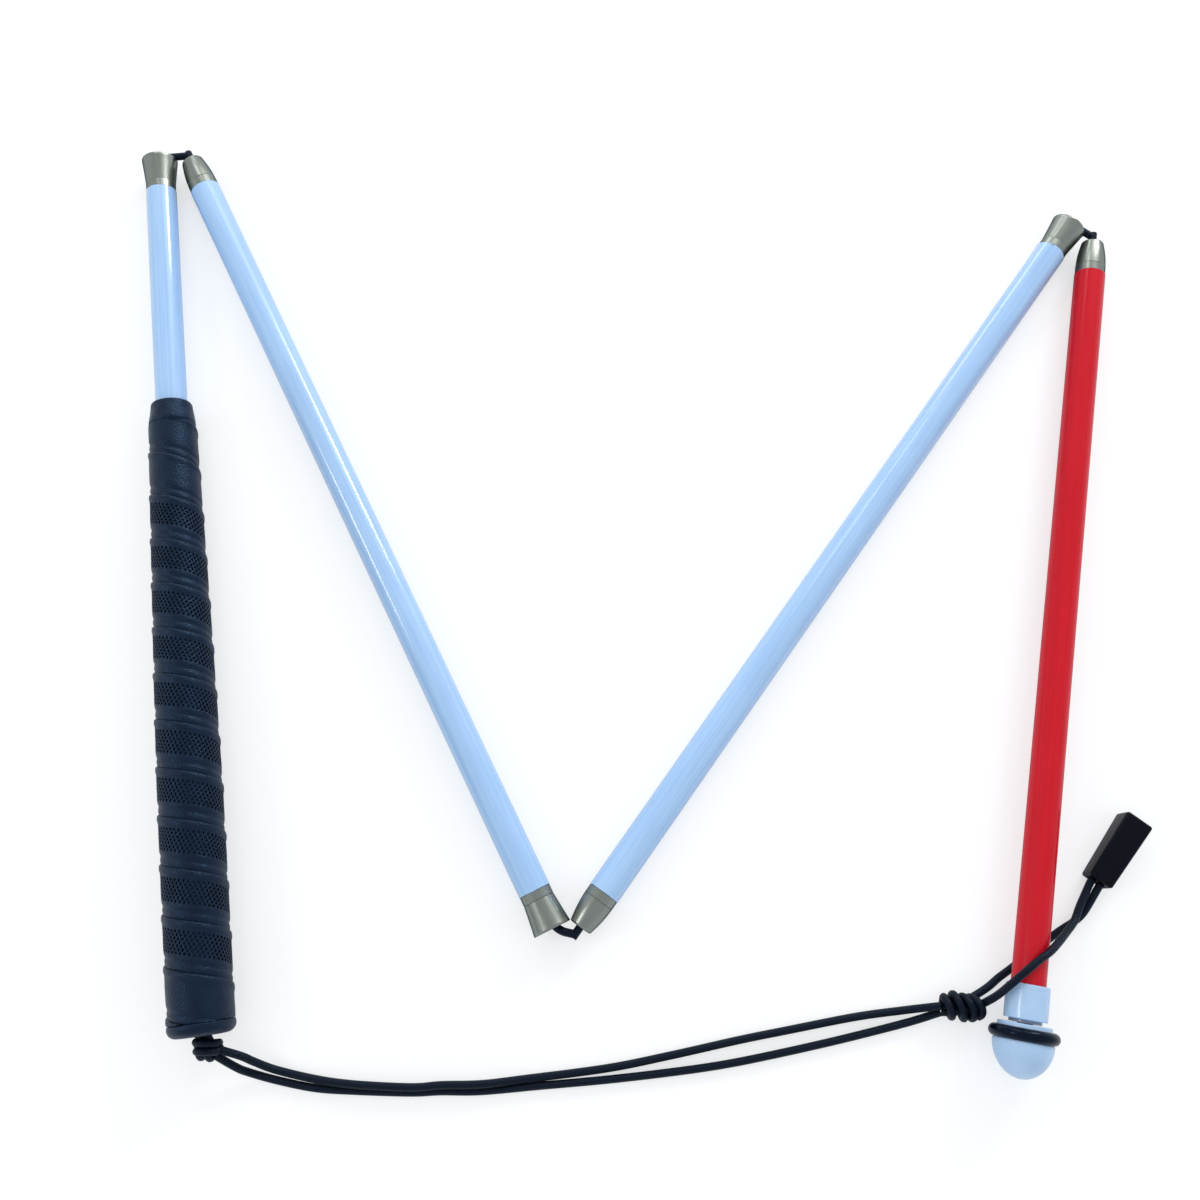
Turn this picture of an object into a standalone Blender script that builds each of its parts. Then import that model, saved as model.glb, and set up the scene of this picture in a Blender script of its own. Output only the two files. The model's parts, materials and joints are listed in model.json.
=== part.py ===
# Folding identification cane, laid out half open in a zigzag, with its elastic lanyard.
# Units are metres. X runs to the right, Y away from the viewer, Z up, and the floor is at z = 0.

import math

import bmesh
import bpy
from mathutils import Matrix, Vector

# Clearances
GAP = 0.0003
TAPER_CLEARANCE = 0.00015

# Tube and the reflective sheath over it
TUBE_RADIUS = 0.00575
TUBE_WALL = 0.0008
SHEATH_WALL = 0.0003
SHEATH_RADIUS = TUBE_RADIUS + GAP + SHEATH_WALL
TUBE_BORE = TUBE_RADIUS - TUBE_WALL

# Lengths along the sections, each from its nose or mouth
HANDLE_LENGTH = 0.366
SECTION_LENGTH = 0.3631
LAST_TUBE_LENGTH = 0.3212

# Tapered end pieces that seat in one another
FERRULE_EXPOSED = 0.0155
FERRULE_LAND = 0.0035
FERRULE_RADIUS = 0.00615
SPIGOT_LENGTH = 0.024
CONE_NOSE_RADIUS = 0.0047
CONE_NOSE_ROUND = 0.0009
CONE_BELLY = 0.0003
SOCKET_WALL = 0.0012
SOCKET_RIM = 0.00035
SOCKET_SWELL = 0.9
CORD_BORE = 0.0024
CORD_BORE_STEP = 0.001
TAPER_LENGTH = FERRULE_EXPOSED - FERRULE_LAND
MOUTH_BORE = FERRULE_RADIUS + TAPER_CLEARANCE
MOUTH_RADIUS = MOUTH_BORE + SOCKET_WALL

# Elastic through the sections
ELASTIC_RADIUS = 0.0016
HINGE_FROM_MOUTH = 0.0031
HINGE_FROM_NOSE = 0.0035
PULL_TRAVEL = 0.025
STUB_SPARE = 0.004
ANCHOR_RADIUS = TUBE_BORE - GAP
ANCHOR_LENGTH = 0.006
HANDLE_ANCHOR_AT = 0.3
TIP_ANCHOR_FROM_END = 0.0292
TIP_ANCHOR_AT = LAST_TUBE_LENGTH - TIP_ANCHOR_FROM_END

# Grip
GRIP_START = 0.1165
COLLAR_LENGTH = 0.0098
COLLAR_RADIUS = 0.0083
COLLAR_FOOT_RADIUS = 0.0092
COLLAR_WALL = 0.0009
COLLAR_EDGE = 0.001
GRIP_TOP_RADIUS = 0.0095
GRIP_FULL_RADIUS = 0.0121
GRIP_TAPER_LENGTH = 0.1535
GRIP_TAPER_POWER = 1.25
WRAP_THICKNESS = 0.0013
WRAP_PITCH = 0.0184
WRAP_LAP = 0.00045
WRAP_CROWN = 0.0003
WRAP_TUCK = 0.0008
WRAP_SIDES = 24
CAP_LENGTH = 0.0224
CAP_WALL = 0.0014
CAP_FLOOR = 0.0042
CAP_FLARE = 0.0002
CAP_GROOVE = 0.0005
CAP_GROOVE_WIDTH = 0.0016
CAP_EDGE = 0.001
LANYARD_HOLE = 0.0034
STOPPER_STEP = 0.001

# Rolling tip
SLEEVE_RADIUS = 0.0079
SLEEVE_OVER_TUBE = 0.009
SLEEVE_FLOOR = 0.0033
SLEEVE_EDGE = 0.0008
NECK_RADIUS = 0.006
NECK_LENGTH = 0.0012
HEAD_BORE = NECK_RADIUS + 0.0002
AXLE_RADIUS = 0.002
AXLE_END = 0.001
AXLE_HEAD_RADIUS = 0.0038
AXLE_HEAD_LENGTH = 0.0026
BEARING_WIDTH = 0.004
RACE_WALL = 0.0006
BALL_RADIUS = 0.0009
BALL_COUNT = 8
CAGE_WALL = 0.0005
CAGE_HALF_WIDTH = 0.00063
NUT_RADIUS = 0.0034
NUT_LENGTH = 0.0024
NUT_CLEARANCE = 0.0006
NUT_ROOM = 0.003
FLANGE_RADIUS = 0.0098
FLANGE_LENGTH = 0.0014
RING_SECTION = 0.0023
RING_RADIUS = 0.01045
DOME_RADIUS = 0.0111
DOME_HEIGHT = 0.0134
DOME_LIP = 0.0004

# Lanyard
LANYARD_RADIUS = 0.0015
TOGGLE_LENGTH = 0.029
TOGGLE_WIDTH = 0.0112
TOGGLE_CORD_END = 0.0098
TOGGLE_CHAMFER = 0.0012

# Where the zigzag lies: the handle's hinge point, its heading, and for each joint the turn from the
# socket's axis to the bare elastic, the turn from the elastic to the cone's axis, and the elastic's length
HANDLE_HINGE = (-0.202157, 0.190172)
HANDLE_HEADING = math.radians(-82.58)
JOINT_TURNS = (
    (math.radians(-96.67), math.radians(-64.58), 0.01293),
    (math.radians(68.68), math.radians(49.40), 0.00701),
    (math.radians(-95.60), math.radians(-58.90), 0.01123),
)
HINGE_HEIGHT = MOUTH_RADIUS

# Faces round a full turn, and the steps along the lanyard's strands and its loop
TUBE_SIDES = 24
CORD_SIDES = 12
KNOT_SIDES = 16
NUT_SIDES = 6
CORD_STEP = 0.0095
LOOP_STEP = 0.0080

# Knots and toggle: place, heading, length, width and height
KNOT_END = 0.78
CORD_SPREAD = 0.00175
CORD_LEAD = 0.0015
CORD_FLOOR = LANYARD_RADIUS + 0.00015
GRIP_KNOT_DROP = 0.0036
GRIP_KNOT_LENGTH = 0.0112
GRIP_KNOT_WIDTH = 0.0086
LOOP_KNOT_AT = (0.1258, -0.1672)
LOOP_KNOT_HEADING = math.radians(6.0)
LOOP_KNOT_LENGTH = 0.0152
LOOP_KNOT_WIDTH = 0.0112
LOOP_KNOT_HEIGHT = 0.0098
TOGGLE_AT = (0.1809, -0.1217)
TOGGLE_HEADING = math.radians(53.5)

# Lanyard routes between knots and toggle, hand set
UPPER_STRAND = (
    (-0.1415, -0.1790, 0.0100), (-0.1370, -0.1832, 0.0066), (-0.1295, -0.1889, 0.0025),
    (-0.1150, -0.1922, 0.0028),
    (-0.1006, -0.1939, 0.0043), (-0.0794, -0.1950, 0.0043), (-0.0682, -0.1943, 0.0043),
    (-0.0535, -0.1940, 0.0043), (-0.0378, -0.1925, 0.0026), (-0.0071, -0.1889, 0.0015),
    (0.0175, -0.1843, 0.0015), (0.0424, -0.1791, 0.0015), (0.0611, -0.1756, 0.0015),
    (0.0863, -0.1710, 0.0015), (0.1049, -0.1686, 0.0020),
)
LOWER_STRAND = (
    (-0.1436, -0.1852, 0.0072), (-0.1398, -0.1892, 0.0036), (-0.1294, -0.1931, 0.0017),
    (-0.1151, -0.1954, 0.0017),
    (-0.1011, -0.1964, 0.0015), (-0.0798, -0.1971, 0.0015), (-0.0685, -0.1967, 0.0015),
    (-0.0538, -0.1967, 0.0015), (-0.0318, -0.1949, 0.0015), (-0.0072, -0.1929, 0.0015),
    (0.0174, -0.1903, 0.0015), (0.0361, -0.1878, 0.0015), (0.0547, -0.1844, 0.0015),
    (0.0797, -0.1792, 0.0015), (0.1047, -0.1733, 0.0020),
)
LOOP_FRONT = (
    (0.1355, -0.1627, 0.0140), (0.1396, -0.1587, 0.0196), (0.1443, -0.1548, 0.0216),
    (0.1504, -0.1502, 0.0213), (0.1560, -0.1468, 0.0194), (0.1610, -0.1434, 0.0154),
    (0.1655, -0.1402, 0.0110), (0.1700, -0.1362, 0.0078), (0.1732, -0.1308, 0.0062),
)
LOOP_BACK = (
    (0.1366, -0.1605, 0.0028), (0.1414, -0.1571, 0.0017), (0.1454, -0.1544, 0.0017),
    (0.1543, -0.1483, 0.0017), (0.1636, -0.1417, 0.0017), (0.1676, -0.1391, 0.0017),
    (0.1719, -0.1365, 0.0020), (0.1757, -0.1330, 0.0030),
)


def clear_scene():
    for thing in list(bpy.data.objects):
        bpy.data.objects.remove(thing, do_unlink=True)


def make_material(name, colour, roughness, metallic=0.0):
    material = bpy.data.materials.new(name)
    material.use_nodes = True
    shader = material.node_tree.nodes["Principled BSDF"]
    shader.inputs["Base Color"].default_value = (*colour, 1.0)
    shader.inputs["Roughness"].default_value = roughness
    shader.inputs["Metallic"].default_value = metallic
    return material


def heading_vector(angle, rise=0.0):
    flat = math.cos(rise)
    return Vector((math.cos(angle) * flat, math.sin(angle) * flat, math.sin(rise)))


def frame_along(origin, direction):
    """A frame at origin whose Z runs along direction and whose Y points up as far as it can."""
    z = direction.normalized()
    x = Vector((0.0, 0.0, 1.0)).cross(z).normalized()
    y = z.cross(x)
    frame = Matrix((x, y, z)).transposed().to_4x4()
    frame.translation = origin
    return frame


def place(thing, world, parent=None):
    if parent is not None:
        thing.parent = parent["object"]
        thing.matrix_parent_inverse = parent["world"].inverted()
    thing.matrix_basis = world


def make_empty(name, world, parent=None):
    thing = bpy.data.objects.new(name, None)
    thing.empty_display_size = 0.01
    bpy.context.collection.objects.link(thing)
    place(thing, world, parent)
    return {"object": thing, "world": world}


def finish_mesh(name, bm, frame, material, sharp=35.0):
    bmesh.ops.remove_doubles(bm, verts=bm.verts, dist=1e-7)
    bmesh.ops.recalc_face_normals(bm, faces=bm.faces)
    mesh = bpy.data.meshes.new(name)
    bm.to_mesh(mesh)
    bm.free()
    mesh.shade_smooth()
    mesh.set_sharp_from_angle(angle=math.radians(sharp))
    mesh.materials.append(material)
    thing = bpy.data.objects.new(name, mesh)
    bpy.context.collection.objects.link(thing)
    place(thing, frame["world"], frame)
    return thing


def turned(name, outline, frame, material, sides=TUBE_SIDES, squash=1.0):
    """Turns a closed outline of (radius, height) points about the frame's Z, then squashes it along Y."""
    bm = bmesh.new()
    verts = [bm.verts.new((radius, 0.0, height)) for radius, height in outline]
    edges = [bm.edges.new((a, b)) for a, b in zip(verts, verts[1:] + verts[:1])
             if a.co.x > 0.0 or b.co.x > 0.0]
    bmesh.ops.spin(bm, geom=verts + edges, cent=(0, 0, 0), axis=(0, 0, 1),
                   angle=2.0 * math.pi, steps=sides, use_merge=True)
    bmesh.ops.scale(bm, verts=bm.verts, vec=(1.0, squash, 1.0))
    return finish_mesh(name, bm, frame, material)


def arc(centre, radius, start, end, steps):
    """Points on an arc in (radius, height), with its angles in degrees from the outward direction."""
    points = []
    for i in range(steps + 1):
        angle = math.radians(start + (end - start) * i / steps)
        points.append((centre[0] + radius * math.cos(angle), centre[1] + radius * math.sin(angle)))
    return points


def tube_outline(outer, inner, low, high):
    return [(outer, low), (outer, high), (inner, high), (inner, low)]


def rod_outline(radius, low, high):
    return [(0.0, low), (radius, low), (radius, high), (0.0, high)]


def cone_outline():
    """The male end: a rounded nose at height 0, a slightly bellied taper, a land, and a spigot."""
    nose = arc((CONE_NOSE_RADIUS - CONE_NOSE_ROUND, CONE_NOSE_ROUND), CONE_NOSE_ROUND, -90, 0, 3)
    taper = []
    steps = 4
    for i in range(1, steps + 1):
        share = i / steps
        along = CONE_NOSE_ROUND + (TAPER_LENGTH - CONE_NOSE_ROUND) * share
        straight = CONE_NOSE_RADIUS + (FERRULE_RADIUS - CONE_NOSE_RADIUS) * share
        taper.append((straight + CONE_BELLY * math.sin(math.pi * share), along))
    foot = FERRULE_EXPOSED
    spigot = TUBE_BORE - GAP
    end = foot + SPIGOT_LENGTH
    return nose + taper + [(FERRULE_RADIUS, foot), (spigot, foot), (spigot, end),
                           (CORD_BORE, end), (CORD_BORE, 0.0)]


def socket_outline(foot_sign, mouth):
    """The female end: a flared mouth at the given height, opening against foot_sign."""
    def at(depth):
        return mouth + foot_sign * depth
    rim = SOCKET_RIM
    bore_foot = CONE_NOSE_RADIUS + TAPER_CLEARANCE
    inside = []
    steps = 4
    for i in range(steps + 1):
        share = i / steps
        straight = MOUTH_BORE + (bore_foot - MOUTH_BORE) * share
        inside.append((straight + CONE_BELLY * math.sin(math.pi * share),
                       at(rim + (TAPER_LENGTH - rim) * share)))
    outside = []
    for i in range(1, steps + 1):
        share = i / steps
        outside.append((MOUTH_RADIUS + (FERRULE_RADIUS - MOUTH_RADIUS) * share ** SOCKET_SWELL,
                        at(rim + (TAPER_LENGTH - rim) * share)))
    foot = FERRULE_EXPOSED
    spigot = TUBE_BORE - GAP
    end = foot + SPIGOT_LENGTH
    return (
        [(CORD_BORE, at(TAPER_LENGTH + CORD_BORE_STEP))] + inside[::-1]
        + [(MOUTH_BORE + rim, at(0.0)), (MOUTH_RADIUS - rim, at(0.0)), (MOUTH_RADIUS, at(rim))]
        + outside
        + [(FERRULE_RADIUS, at(foot)), (spigot, at(foot)), (spigot, at(end)), (CORD_BORE, at(end))]
    )


def grip_radius(station):
    """Mean outer radius of the wrapped grip, which swells from its top to a full hand's width."""
    share = (station - GRIP_START - COLLAR_LENGTH) / GRIP_TAPER_LENGTH
    share = min(max(share, 0.0), 1.0)
    swell = 1.0 - (1.0 - share) ** GRIP_TAPER_POWER
    return GRIP_TOP_RADIUS + (GRIP_FULL_RADIUS - GRIP_TOP_RADIUS) * swell


def wrap_range():
    return GRIP_START + COLLAR_LENGTH + GAP, HANDLE_LENGTH - CAP_LENGTH - GAP


def handle_rise():
    """How steeply the handle lies, resting on its mouth and on the fullest part of the grip."""
    low, high = wrap_range()
    steps = 80
    rises = []
    for i in range(steps + 1):
        station = low + (high - low) * i / steps
        proud = grip_radius(station) + WRAP_CROWN - HINGE_HEIGHT
        rises.append(math.atan2(proud, station + HINGE_FROM_MOUTH))
    return max(rises)


def wrap_point(station, angle, height):
    radius = grip_radius(station) + height
    return Vector((radius * math.cos(angle), radius * math.sin(angle), station))


def make_grip_wrap(frame, material):
    """One strip wound in a helix: each turn has a raised shoulder that laps over the turn before."""
    bands = ((0.0, -WRAP_LAP), (0.045, WRAP_CROWN * 0.8), (0.14, WRAP_CROWN), (0.3, 0.0), (0.93, 0.0))
    low, high = wrap_range()
    turns = (high - low - 2 * WRAP_TUCK - WRAP_PITCH) / WRAP_PITCH
    count = int(turns * WRAP_SIDES)
    start = low + WRAP_TUCK
    bm = bmesh.new()
    grid = []
    for n in range(count + 1):
        angle = -2.0 * math.pi * n / WRAP_SIDES
        base = start + WRAP_PITCH * n / WRAP_SIDES
        grid.append([bm.verts.new(wrap_point(base + WRAP_PITCH * share, angle, height))
                     for share, height in bands])
    last = len(bands) - 1
    for n in range(count):
        for k in range(last):
            bm.faces.new((grid[n][k], grid[n + 1][k], grid[n + 1][k + 1], grid[n][k + 1]))
        if n + 1 + WRAP_SIDES <= count:
            bm.faces.new((grid[n][last], grid[n + 1][last], grid[n + 1 + WRAP_SIDES][0],
                          grid[n + WRAP_SIDES][0]))
    top = ring_of(bm, low, start, 0)
    bottom = ring_of(bm, high, high, count)
    for n in range(WRAP_SIDES):
        bm.faces.new((top[n], top[(n + 1) % WRAP_SIDES], grid[n + 1][0], grid[n][0]))
    fan = grid[0] + [grid[WRAP_SIDES][0]]
    for a, b in zip(fan, fan[1:]):
        bm.faces.new((top[0], a, b))
    first = count - WRAP_SIDES
    for n in range(WRAP_SIDES):
        bm.faces.new((grid[first + n][last], grid[first + n + 1][last],
                      bottom[(n + 1) % WRAP_SIDES], bottom[n]))
    fan = [grid[first][last]] + grid[count]
    for a, b in zip(fan, fan[1:]):
        bm.faces.new((bottom[0], a, b))
    inner_top = ring_of(bm, low, start, 0, -WRAP_THICKNESS)
    inner_bottom = ring_of(bm, high, high, count, -WRAP_THICKNESS)
    rings = [top, inner_top]
    steps = 7
    for i in range(1, steps):
        station = low + (high - low) * i / steps
        rings.append(ring_of(bm, station, station, 0, -WRAP_THICKNESS))
    turned_by = count % WRAP_SIDES
    aligned = inner_bottom[WRAP_SIDES - turned_by:] + inner_bottom[:WRAP_SIDES - turned_by]
    rings.append(aligned)
    for one, two in zip(rings, rings[1:]):
        bridge(bm, one, two)
    bridge(bm, inner_bottom, bottom)
    return finish_mesh("grip_wrap", bm, frame, material)


def ring_of(bm, station, radius_station, turn, height=0.0):
    """A ring of the wrap at one height, its first corner in line with turn."""
    ring = []
    radius = grip_radius(radius_station) + height - (WRAP_LAP if height == 0.0 else 0.0)
    for n in range(WRAP_SIDES):
        angle = -2.0 * math.pi * (n + turn) / WRAP_SIDES
        ring.append(bm.verts.new((radius * math.cos(angle), radius * math.sin(angle), station)))
    return ring


def bridge(bm, one, two):
    for n in range(len(one)):
        m = (n + 1) % len(one)
        bm.faces.new((one[n], one[m], two[m], two[n]))


def collar_outline():
    """The finishing collar: rounded at its top, and wider towards the wrap."""
    bore = COLLAR_RADIUS - COLLAR_WALL
    end = GRIP_START + COLLAR_LENGTH
    edge = arc((COLLAR_RADIUS - COLLAR_EDGE, GRIP_START + COLLAR_EDGE), COLLAR_EDGE, -60, 0, 3)
    return [(bore, GRIP_START)] + edge + [(COLLAR_FOOT_RADIUS, end), (bore, end)]


def core_outline():
    """The grip's inner sleeve: narrow under the collar, full under the wrap and the cap."""
    under_collar = COLLAR_RADIUS - COLLAR_WALL - GAP
    bore = TUBE_RADIUS + GAP
    low, high = wrap_range()
    outline = [(bore, GRIP_START), (under_collar, GRIP_START), (under_collar, low)]
    steps = 7
    for i in range(steps + 1):
        station = low + (high - low) * i / steps
        outline.append((grip_radius(station) - WRAP_THICKNESS - GAP, station))
    under_cap = GRIP_FULL_RADIUS - CAP_WALL - GAP
    end = HANDLE_LENGTH - CAP_FLOOR - GAP
    return outline + [(under_cap, high), (under_cap, end), (bore, end)]


def cap_outline():
    """The butt cap: a cup over the grip's end, a shallow groove, a flared foot and a cord hole."""
    start = HANDLE_LENGTH - CAP_LENGTH
    end = HANDLE_LENGTH
    inner = GRIP_FULL_RADIUS - CAP_WALL
    foot = GRIP_FULL_RADIUS + CAP_FLARE
    groove = end - CAP_FLOOR
    groove_radius = GRIP_FULL_RADIUS - CAP_GROOVE
    half = CAP_GROOVE_WIDTH / 2
    edge = arc((foot - CAP_EDGE, end - CAP_EDGE), CAP_EDGE, 0, 90, 4)
    return [(inner, start), (GRIP_FULL_RADIUS, start), (GRIP_FULL_RADIUS, groove - half),
            (groove_radius, groove), (foot, groove + half)] + edge + [
            (LANYARD_HOLE, end), (LANYARD_HOLE, end - CAP_FLOOR), (inner, end - CAP_FLOOR)]


def make_handle(frame, materials):
    foot = FERRULE_EXPOSED + GAP
    tube_end = HANDLE_LENGTH - CAP_FLOOR - GAP
    turned("handle_socket", socket_outline(1.0, 0.0), frame, materials["ferrule"])
    turned("handle_tube", tube_outline(TUBE_RADIUS, TUBE_BORE, foot, tube_end), frame, materials["tube"])
    turned("handle_sheath", tube_outline(SHEATH_RADIUS, TUBE_RADIUS + GAP, foot, GRIP_START - GAP),
           frame, materials["white"])
    turned("grip_collar", collar_outline(), frame, materials["grip"])
    turned("grip_core", core_outline(), frame, materials["core"])
    make_grip_wrap(frame, materials["grip"])
    turned("butt_cap", cap_outline(), frame, materials["grip"])
    core_start = -(HINGE_FROM_MOUTH - ELASTIC_RADIUS - GAP)
    turned("handle_elastic", rod_outline(ELASTIC_RADIUS, core_start, HANDLE_ANCHOR_AT - GAP), frame,
           materials["cord"], CORD_SIDES)
    turned("handle_anchor", rod_outline(ANCHOR_RADIUS, HANDLE_ANCHOR_AT, HANDLE_ANCHOR_AT + ANCHOR_LENGTH),
           frame, materials["anchor"], CORD_SIDES)
    make_lanyard_root(frame, materials["cord"])


def make_lanyard_root(frame, material):
    """The doubled cord through the cap, with its stopper knot inside."""
    stem = LANYARD_HOLE - GAP
    stopper = TUBE_BORE - GAP
    shelf = HANDLE_LENGTH - CAP_FLOOR - GAP
    outline = [(0.0, shelf - 2 * stopper)]
    outline += arc((0.0, shelf - stopper), stopper, -60, 50, 6)
    outline += [(stem, shelf - STOPPER_STEP), (stem, HANDLE_LENGTH), (0.0, HANDLE_LENGTH)]
    turned("lanyard_root", outline, frame, material, CORD_SIDES)


def elastic_link(name, length, frame, material):
    outline = arc((0.0, 0.0), ELASTIC_RADIUS, -90, 0, 4) + arc((0.0, length), ELASTIC_RADIUS, 0, 90, 4)
    outline[0] = (0.0, -ELASTIC_RADIUS)
    outline[-1] = (0.0, length + ELASTIC_RADIUS)
    turned(name, outline, frame, material, CORD_SIDES)


def stub_range():
    """The elastic inside the cone, measured from the cone's nose."""
    start = ELASTIC_RADIUS + GAP - HINGE_FROM_NOSE
    return start, start + PULL_TRAVEL + STUB_SPARE


def make_section(number, frame, materials, sheath):
    """A middle section: cone at height 0, socket at its far end."""
    prefix = f"section_{number}_"
    low = FERRULE_EXPOSED + GAP
    high = SECTION_LENGTH - FERRULE_EXPOSED - GAP
    turned(prefix + "cone", cone_outline(), frame, materials["ferrule"])
    turned(prefix + "socket", socket_outline(-1.0, SECTION_LENGTH), frame, materials["ferrule"])
    turned(prefix + "tube", tube_outline(TUBE_RADIUS, TUBE_BORE, low, high), frame, materials["tube"])
    turned(prefix + "sheath", tube_outline(SHEATH_RADIUS, TUBE_RADIUS + GAP, low, high), frame, sheath)
    core_end = SECTION_LENGTH + HINGE_FROM_MOUTH - ELASTIC_RADIUS - GAP
    turned(prefix + "elastic", rod_outline(ELASTIC_RADIUS, stub_range()[1] + GAP, core_end), frame,
           materials["cord"], CORD_SIDES)


def make_last_section(frame, materials):
    low = FERRULE_EXPOSED + GAP
    sheath_end = LAST_TUBE_LENGTH - SLEEVE_OVER_TUBE / 2
    turned("section_4_cone", cone_outline(), frame, materials["ferrule"])
    turned("section_4_tube", tube_outline(TUBE_RADIUS, TUBE_BORE, low, LAST_TUBE_LENGTH), frame,
           materials["tube"])
    turned("section_4_sheath", tube_outline(SHEATH_RADIUS, TUBE_RADIUS + GAP, low, sheath_end), frame,
           materials["red"])
    turned("section_4_elastic", rod_outline(ELASTIC_RADIUS, stub_range()[1] + GAP, TIP_ANCHOR_AT - GAP),
           frame, materials["cord"], CORD_SIDES)
    turned("tip_anchor", rod_outline(ANCHOR_RADIUS, TIP_ANCHOR_AT, TIP_ANCHOR_AT + ANCHOR_LENGTH), frame,
           materials["anchor"], CORD_SIDES)


def tip_stations():
    """Heights along the last section at which the pieces of the tip meet."""
    at = {}
    at["sleeve_top"] = LAST_TUBE_LENGTH - SLEEVE_OVER_TUBE
    at["floor"] = LAST_TUBE_LENGTH + GAP
    at["sleeve_end"] = at["floor"] + SLEEVE_FLOOR
    at["neck_end"] = at["sleeve_end"] + NECK_LENGTH
    at["flange"] = at["neck_end"] + GAP
    at["bearing"] = at["flange"] + FLANGE_LENGTH
    at["bearing_end"] = at["bearing"] + BEARING_WIDTH
    at["ring"] = at["flange"] + FLANGE_LENGTH + RING_SECTION
    at["dome"] = at["ring"] + RING_SECTION
    at["dome_end"] = at["dome"] + DOME_HEIGHT
    return at


def sleeve_outline(at):
    bore = SHEATH_RADIUS + GAP
    hole = AXLE_RADIUS + GAP
    nose = hole + RACE_WALL
    edge = arc((SLEEVE_RADIUS - SLEEVE_EDGE, at["sleeve_top"] + SLEEVE_EDGE), SLEEVE_EDGE, -90, 0, 3)
    return edge + [(SLEEVE_RADIUS, at["sleeve_end"]), (NECK_RADIUS, at["sleeve_end"]),
                   (NECK_RADIUS, at["neck_end"]), (nose, at["neck_end"]), (nose, at["bearing"] - GAP),
                   (hole, at["bearing"] - GAP), (hole, at["floor"]), (bore, at["floor"]),
                   (bore, at["sleeve_top"])]


def head_outline(at):
    """The rolling head: flange, groove for the ring, rounded dome, and a stepped pocket behind."""
    nut_pocket = NUT_RADIUS + NUT_CLEARANCE
    nut_floor = at["bearing_end"] + 2 * GAP + NUT_LENGTH + NUT_ROOM
    groove = RING_SECTION + GAP
    lip_low = math.degrees(math.acos((FLANGE_RADIUS - RING_RADIUS) / groove))
    lip_high = math.degrees(math.acos((DOME_RADIUS - DOME_LIP - RING_RADIUS) / groove))
    channel = arc((RING_RADIUS, at["ring"]), groove, -lip_low, -360 + lip_high, 9)
    dome = []
    steps = 7
    for i in range(steps + 1):
        angle = math.pi / 2 * i / steps
        dome.append((DOME_RADIUS * math.cos(angle), at["dome"] + DOME_HEIGHT * math.sin(angle)))
    dome[-1] = (0.0, at["dome_end"])
    return ([(0.0, nut_floor), (nut_pocket, nut_floor), (nut_pocket, at["bearing_end"] + GAP),
             (HEAD_BORE, at["bearing_end"] + GAP), (HEAD_BORE, at["flange"]), (FLANGE_RADIUS, at["flange"])]
            + channel + dome)


def make_ball_set(frame, at, material):
    """Bearing balls held in one turned cage, joined to it as one piece."""
    middle = (AXLE_RADIUS + HEAD_BORE) / 2
    centre = (at["bearing"] + at["bearing_end"]) / 2
    half = CAGE_HALF_WIDTH
    cage = turned("ball_set", tube_outline(middle + CAGE_WALL / 2, middle - CAGE_WALL / 2,
                                           centre - half, centre + half), frame, material, BALL_COUNT * 2)
    for n in range(BALL_COUNT):
        angle = 2.0 * math.pi * (n + 0.5) / BALL_COUNT
        bm = bmesh.new()
        bmesh.ops.create_icosphere(bm, subdivisions=1, radius=BALL_RADIUS)
        bmesh.ops.translate(bm, verts=bm.verts,
                            vec=(middle * math.cos(angle), middle * math.sin(angle), centre))
        ball = finish_mesh(f"ball_{n + 1}", bm, frame, material)
        ball.hide_render = True
        ball.display_type = "WIRE"
        union = cage.modifiers.new(f"ball_{n + 1}", "BOOLEAN")
        union.operation = "UNION"
        union.solver = "EXACT"
        union.object = ball


def make_tip(fixed, rolling, materials):
    at = tip_stations()
    hole = AXLE_RADIUS + GAP
    outer = HEAD_BORE - GAP
    head_low = at["floor"] - GAP - AXLE_HEAD_LENGTH
    nut_low = at["bearing_end"] + GAP
    turned("tip_sleeve", sleeve_outline(at), fixed, materials["tip"])
    turned("tip_axle", [(0.0, head_low), (AXLE_HEAD_RADIUS, head_low), (AXLE_HEAD_RADIUS, at["floor"] - GAP),
                        (AXLE_RADIUS, at["floor"] - GAP), (AXLE_RADIUS, nut_low + NUT_LENGTH + AXLE_END),
                        (0.0, nut_low + NUT_LENGTH + AXLE_END)], fixed, materials["steel"])
    turned("bearing_inner_race", tube_outline(hole + RACE_WALL, hole, at["bearing"], at["bearing_end"]),
           fixed, materials["steel"])
    turned("axle_nut", tube_outline(NUT_RADIUS, hole, nut_low, nut_low + NUT_LENGTH), fixed,
           materials["steel"], NUT_SIDES)
    turned("bearing_outer_race", tube_outline(outer, outer - RACE_WALL, at["bearing"], at["bearing_end"]),
           rolling, materials["steel"])
    make_ball_set(rolling, at, materials["steel"])
    turned("tip_head", head_outline(at), rolling, materials["tip"])
    ring = arc((RING_RADIUS, at["ring"]), RING_SECTION, 0, 330, 11)
    turned("tip_ring", ring, rolling, materials["rubber"])


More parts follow.
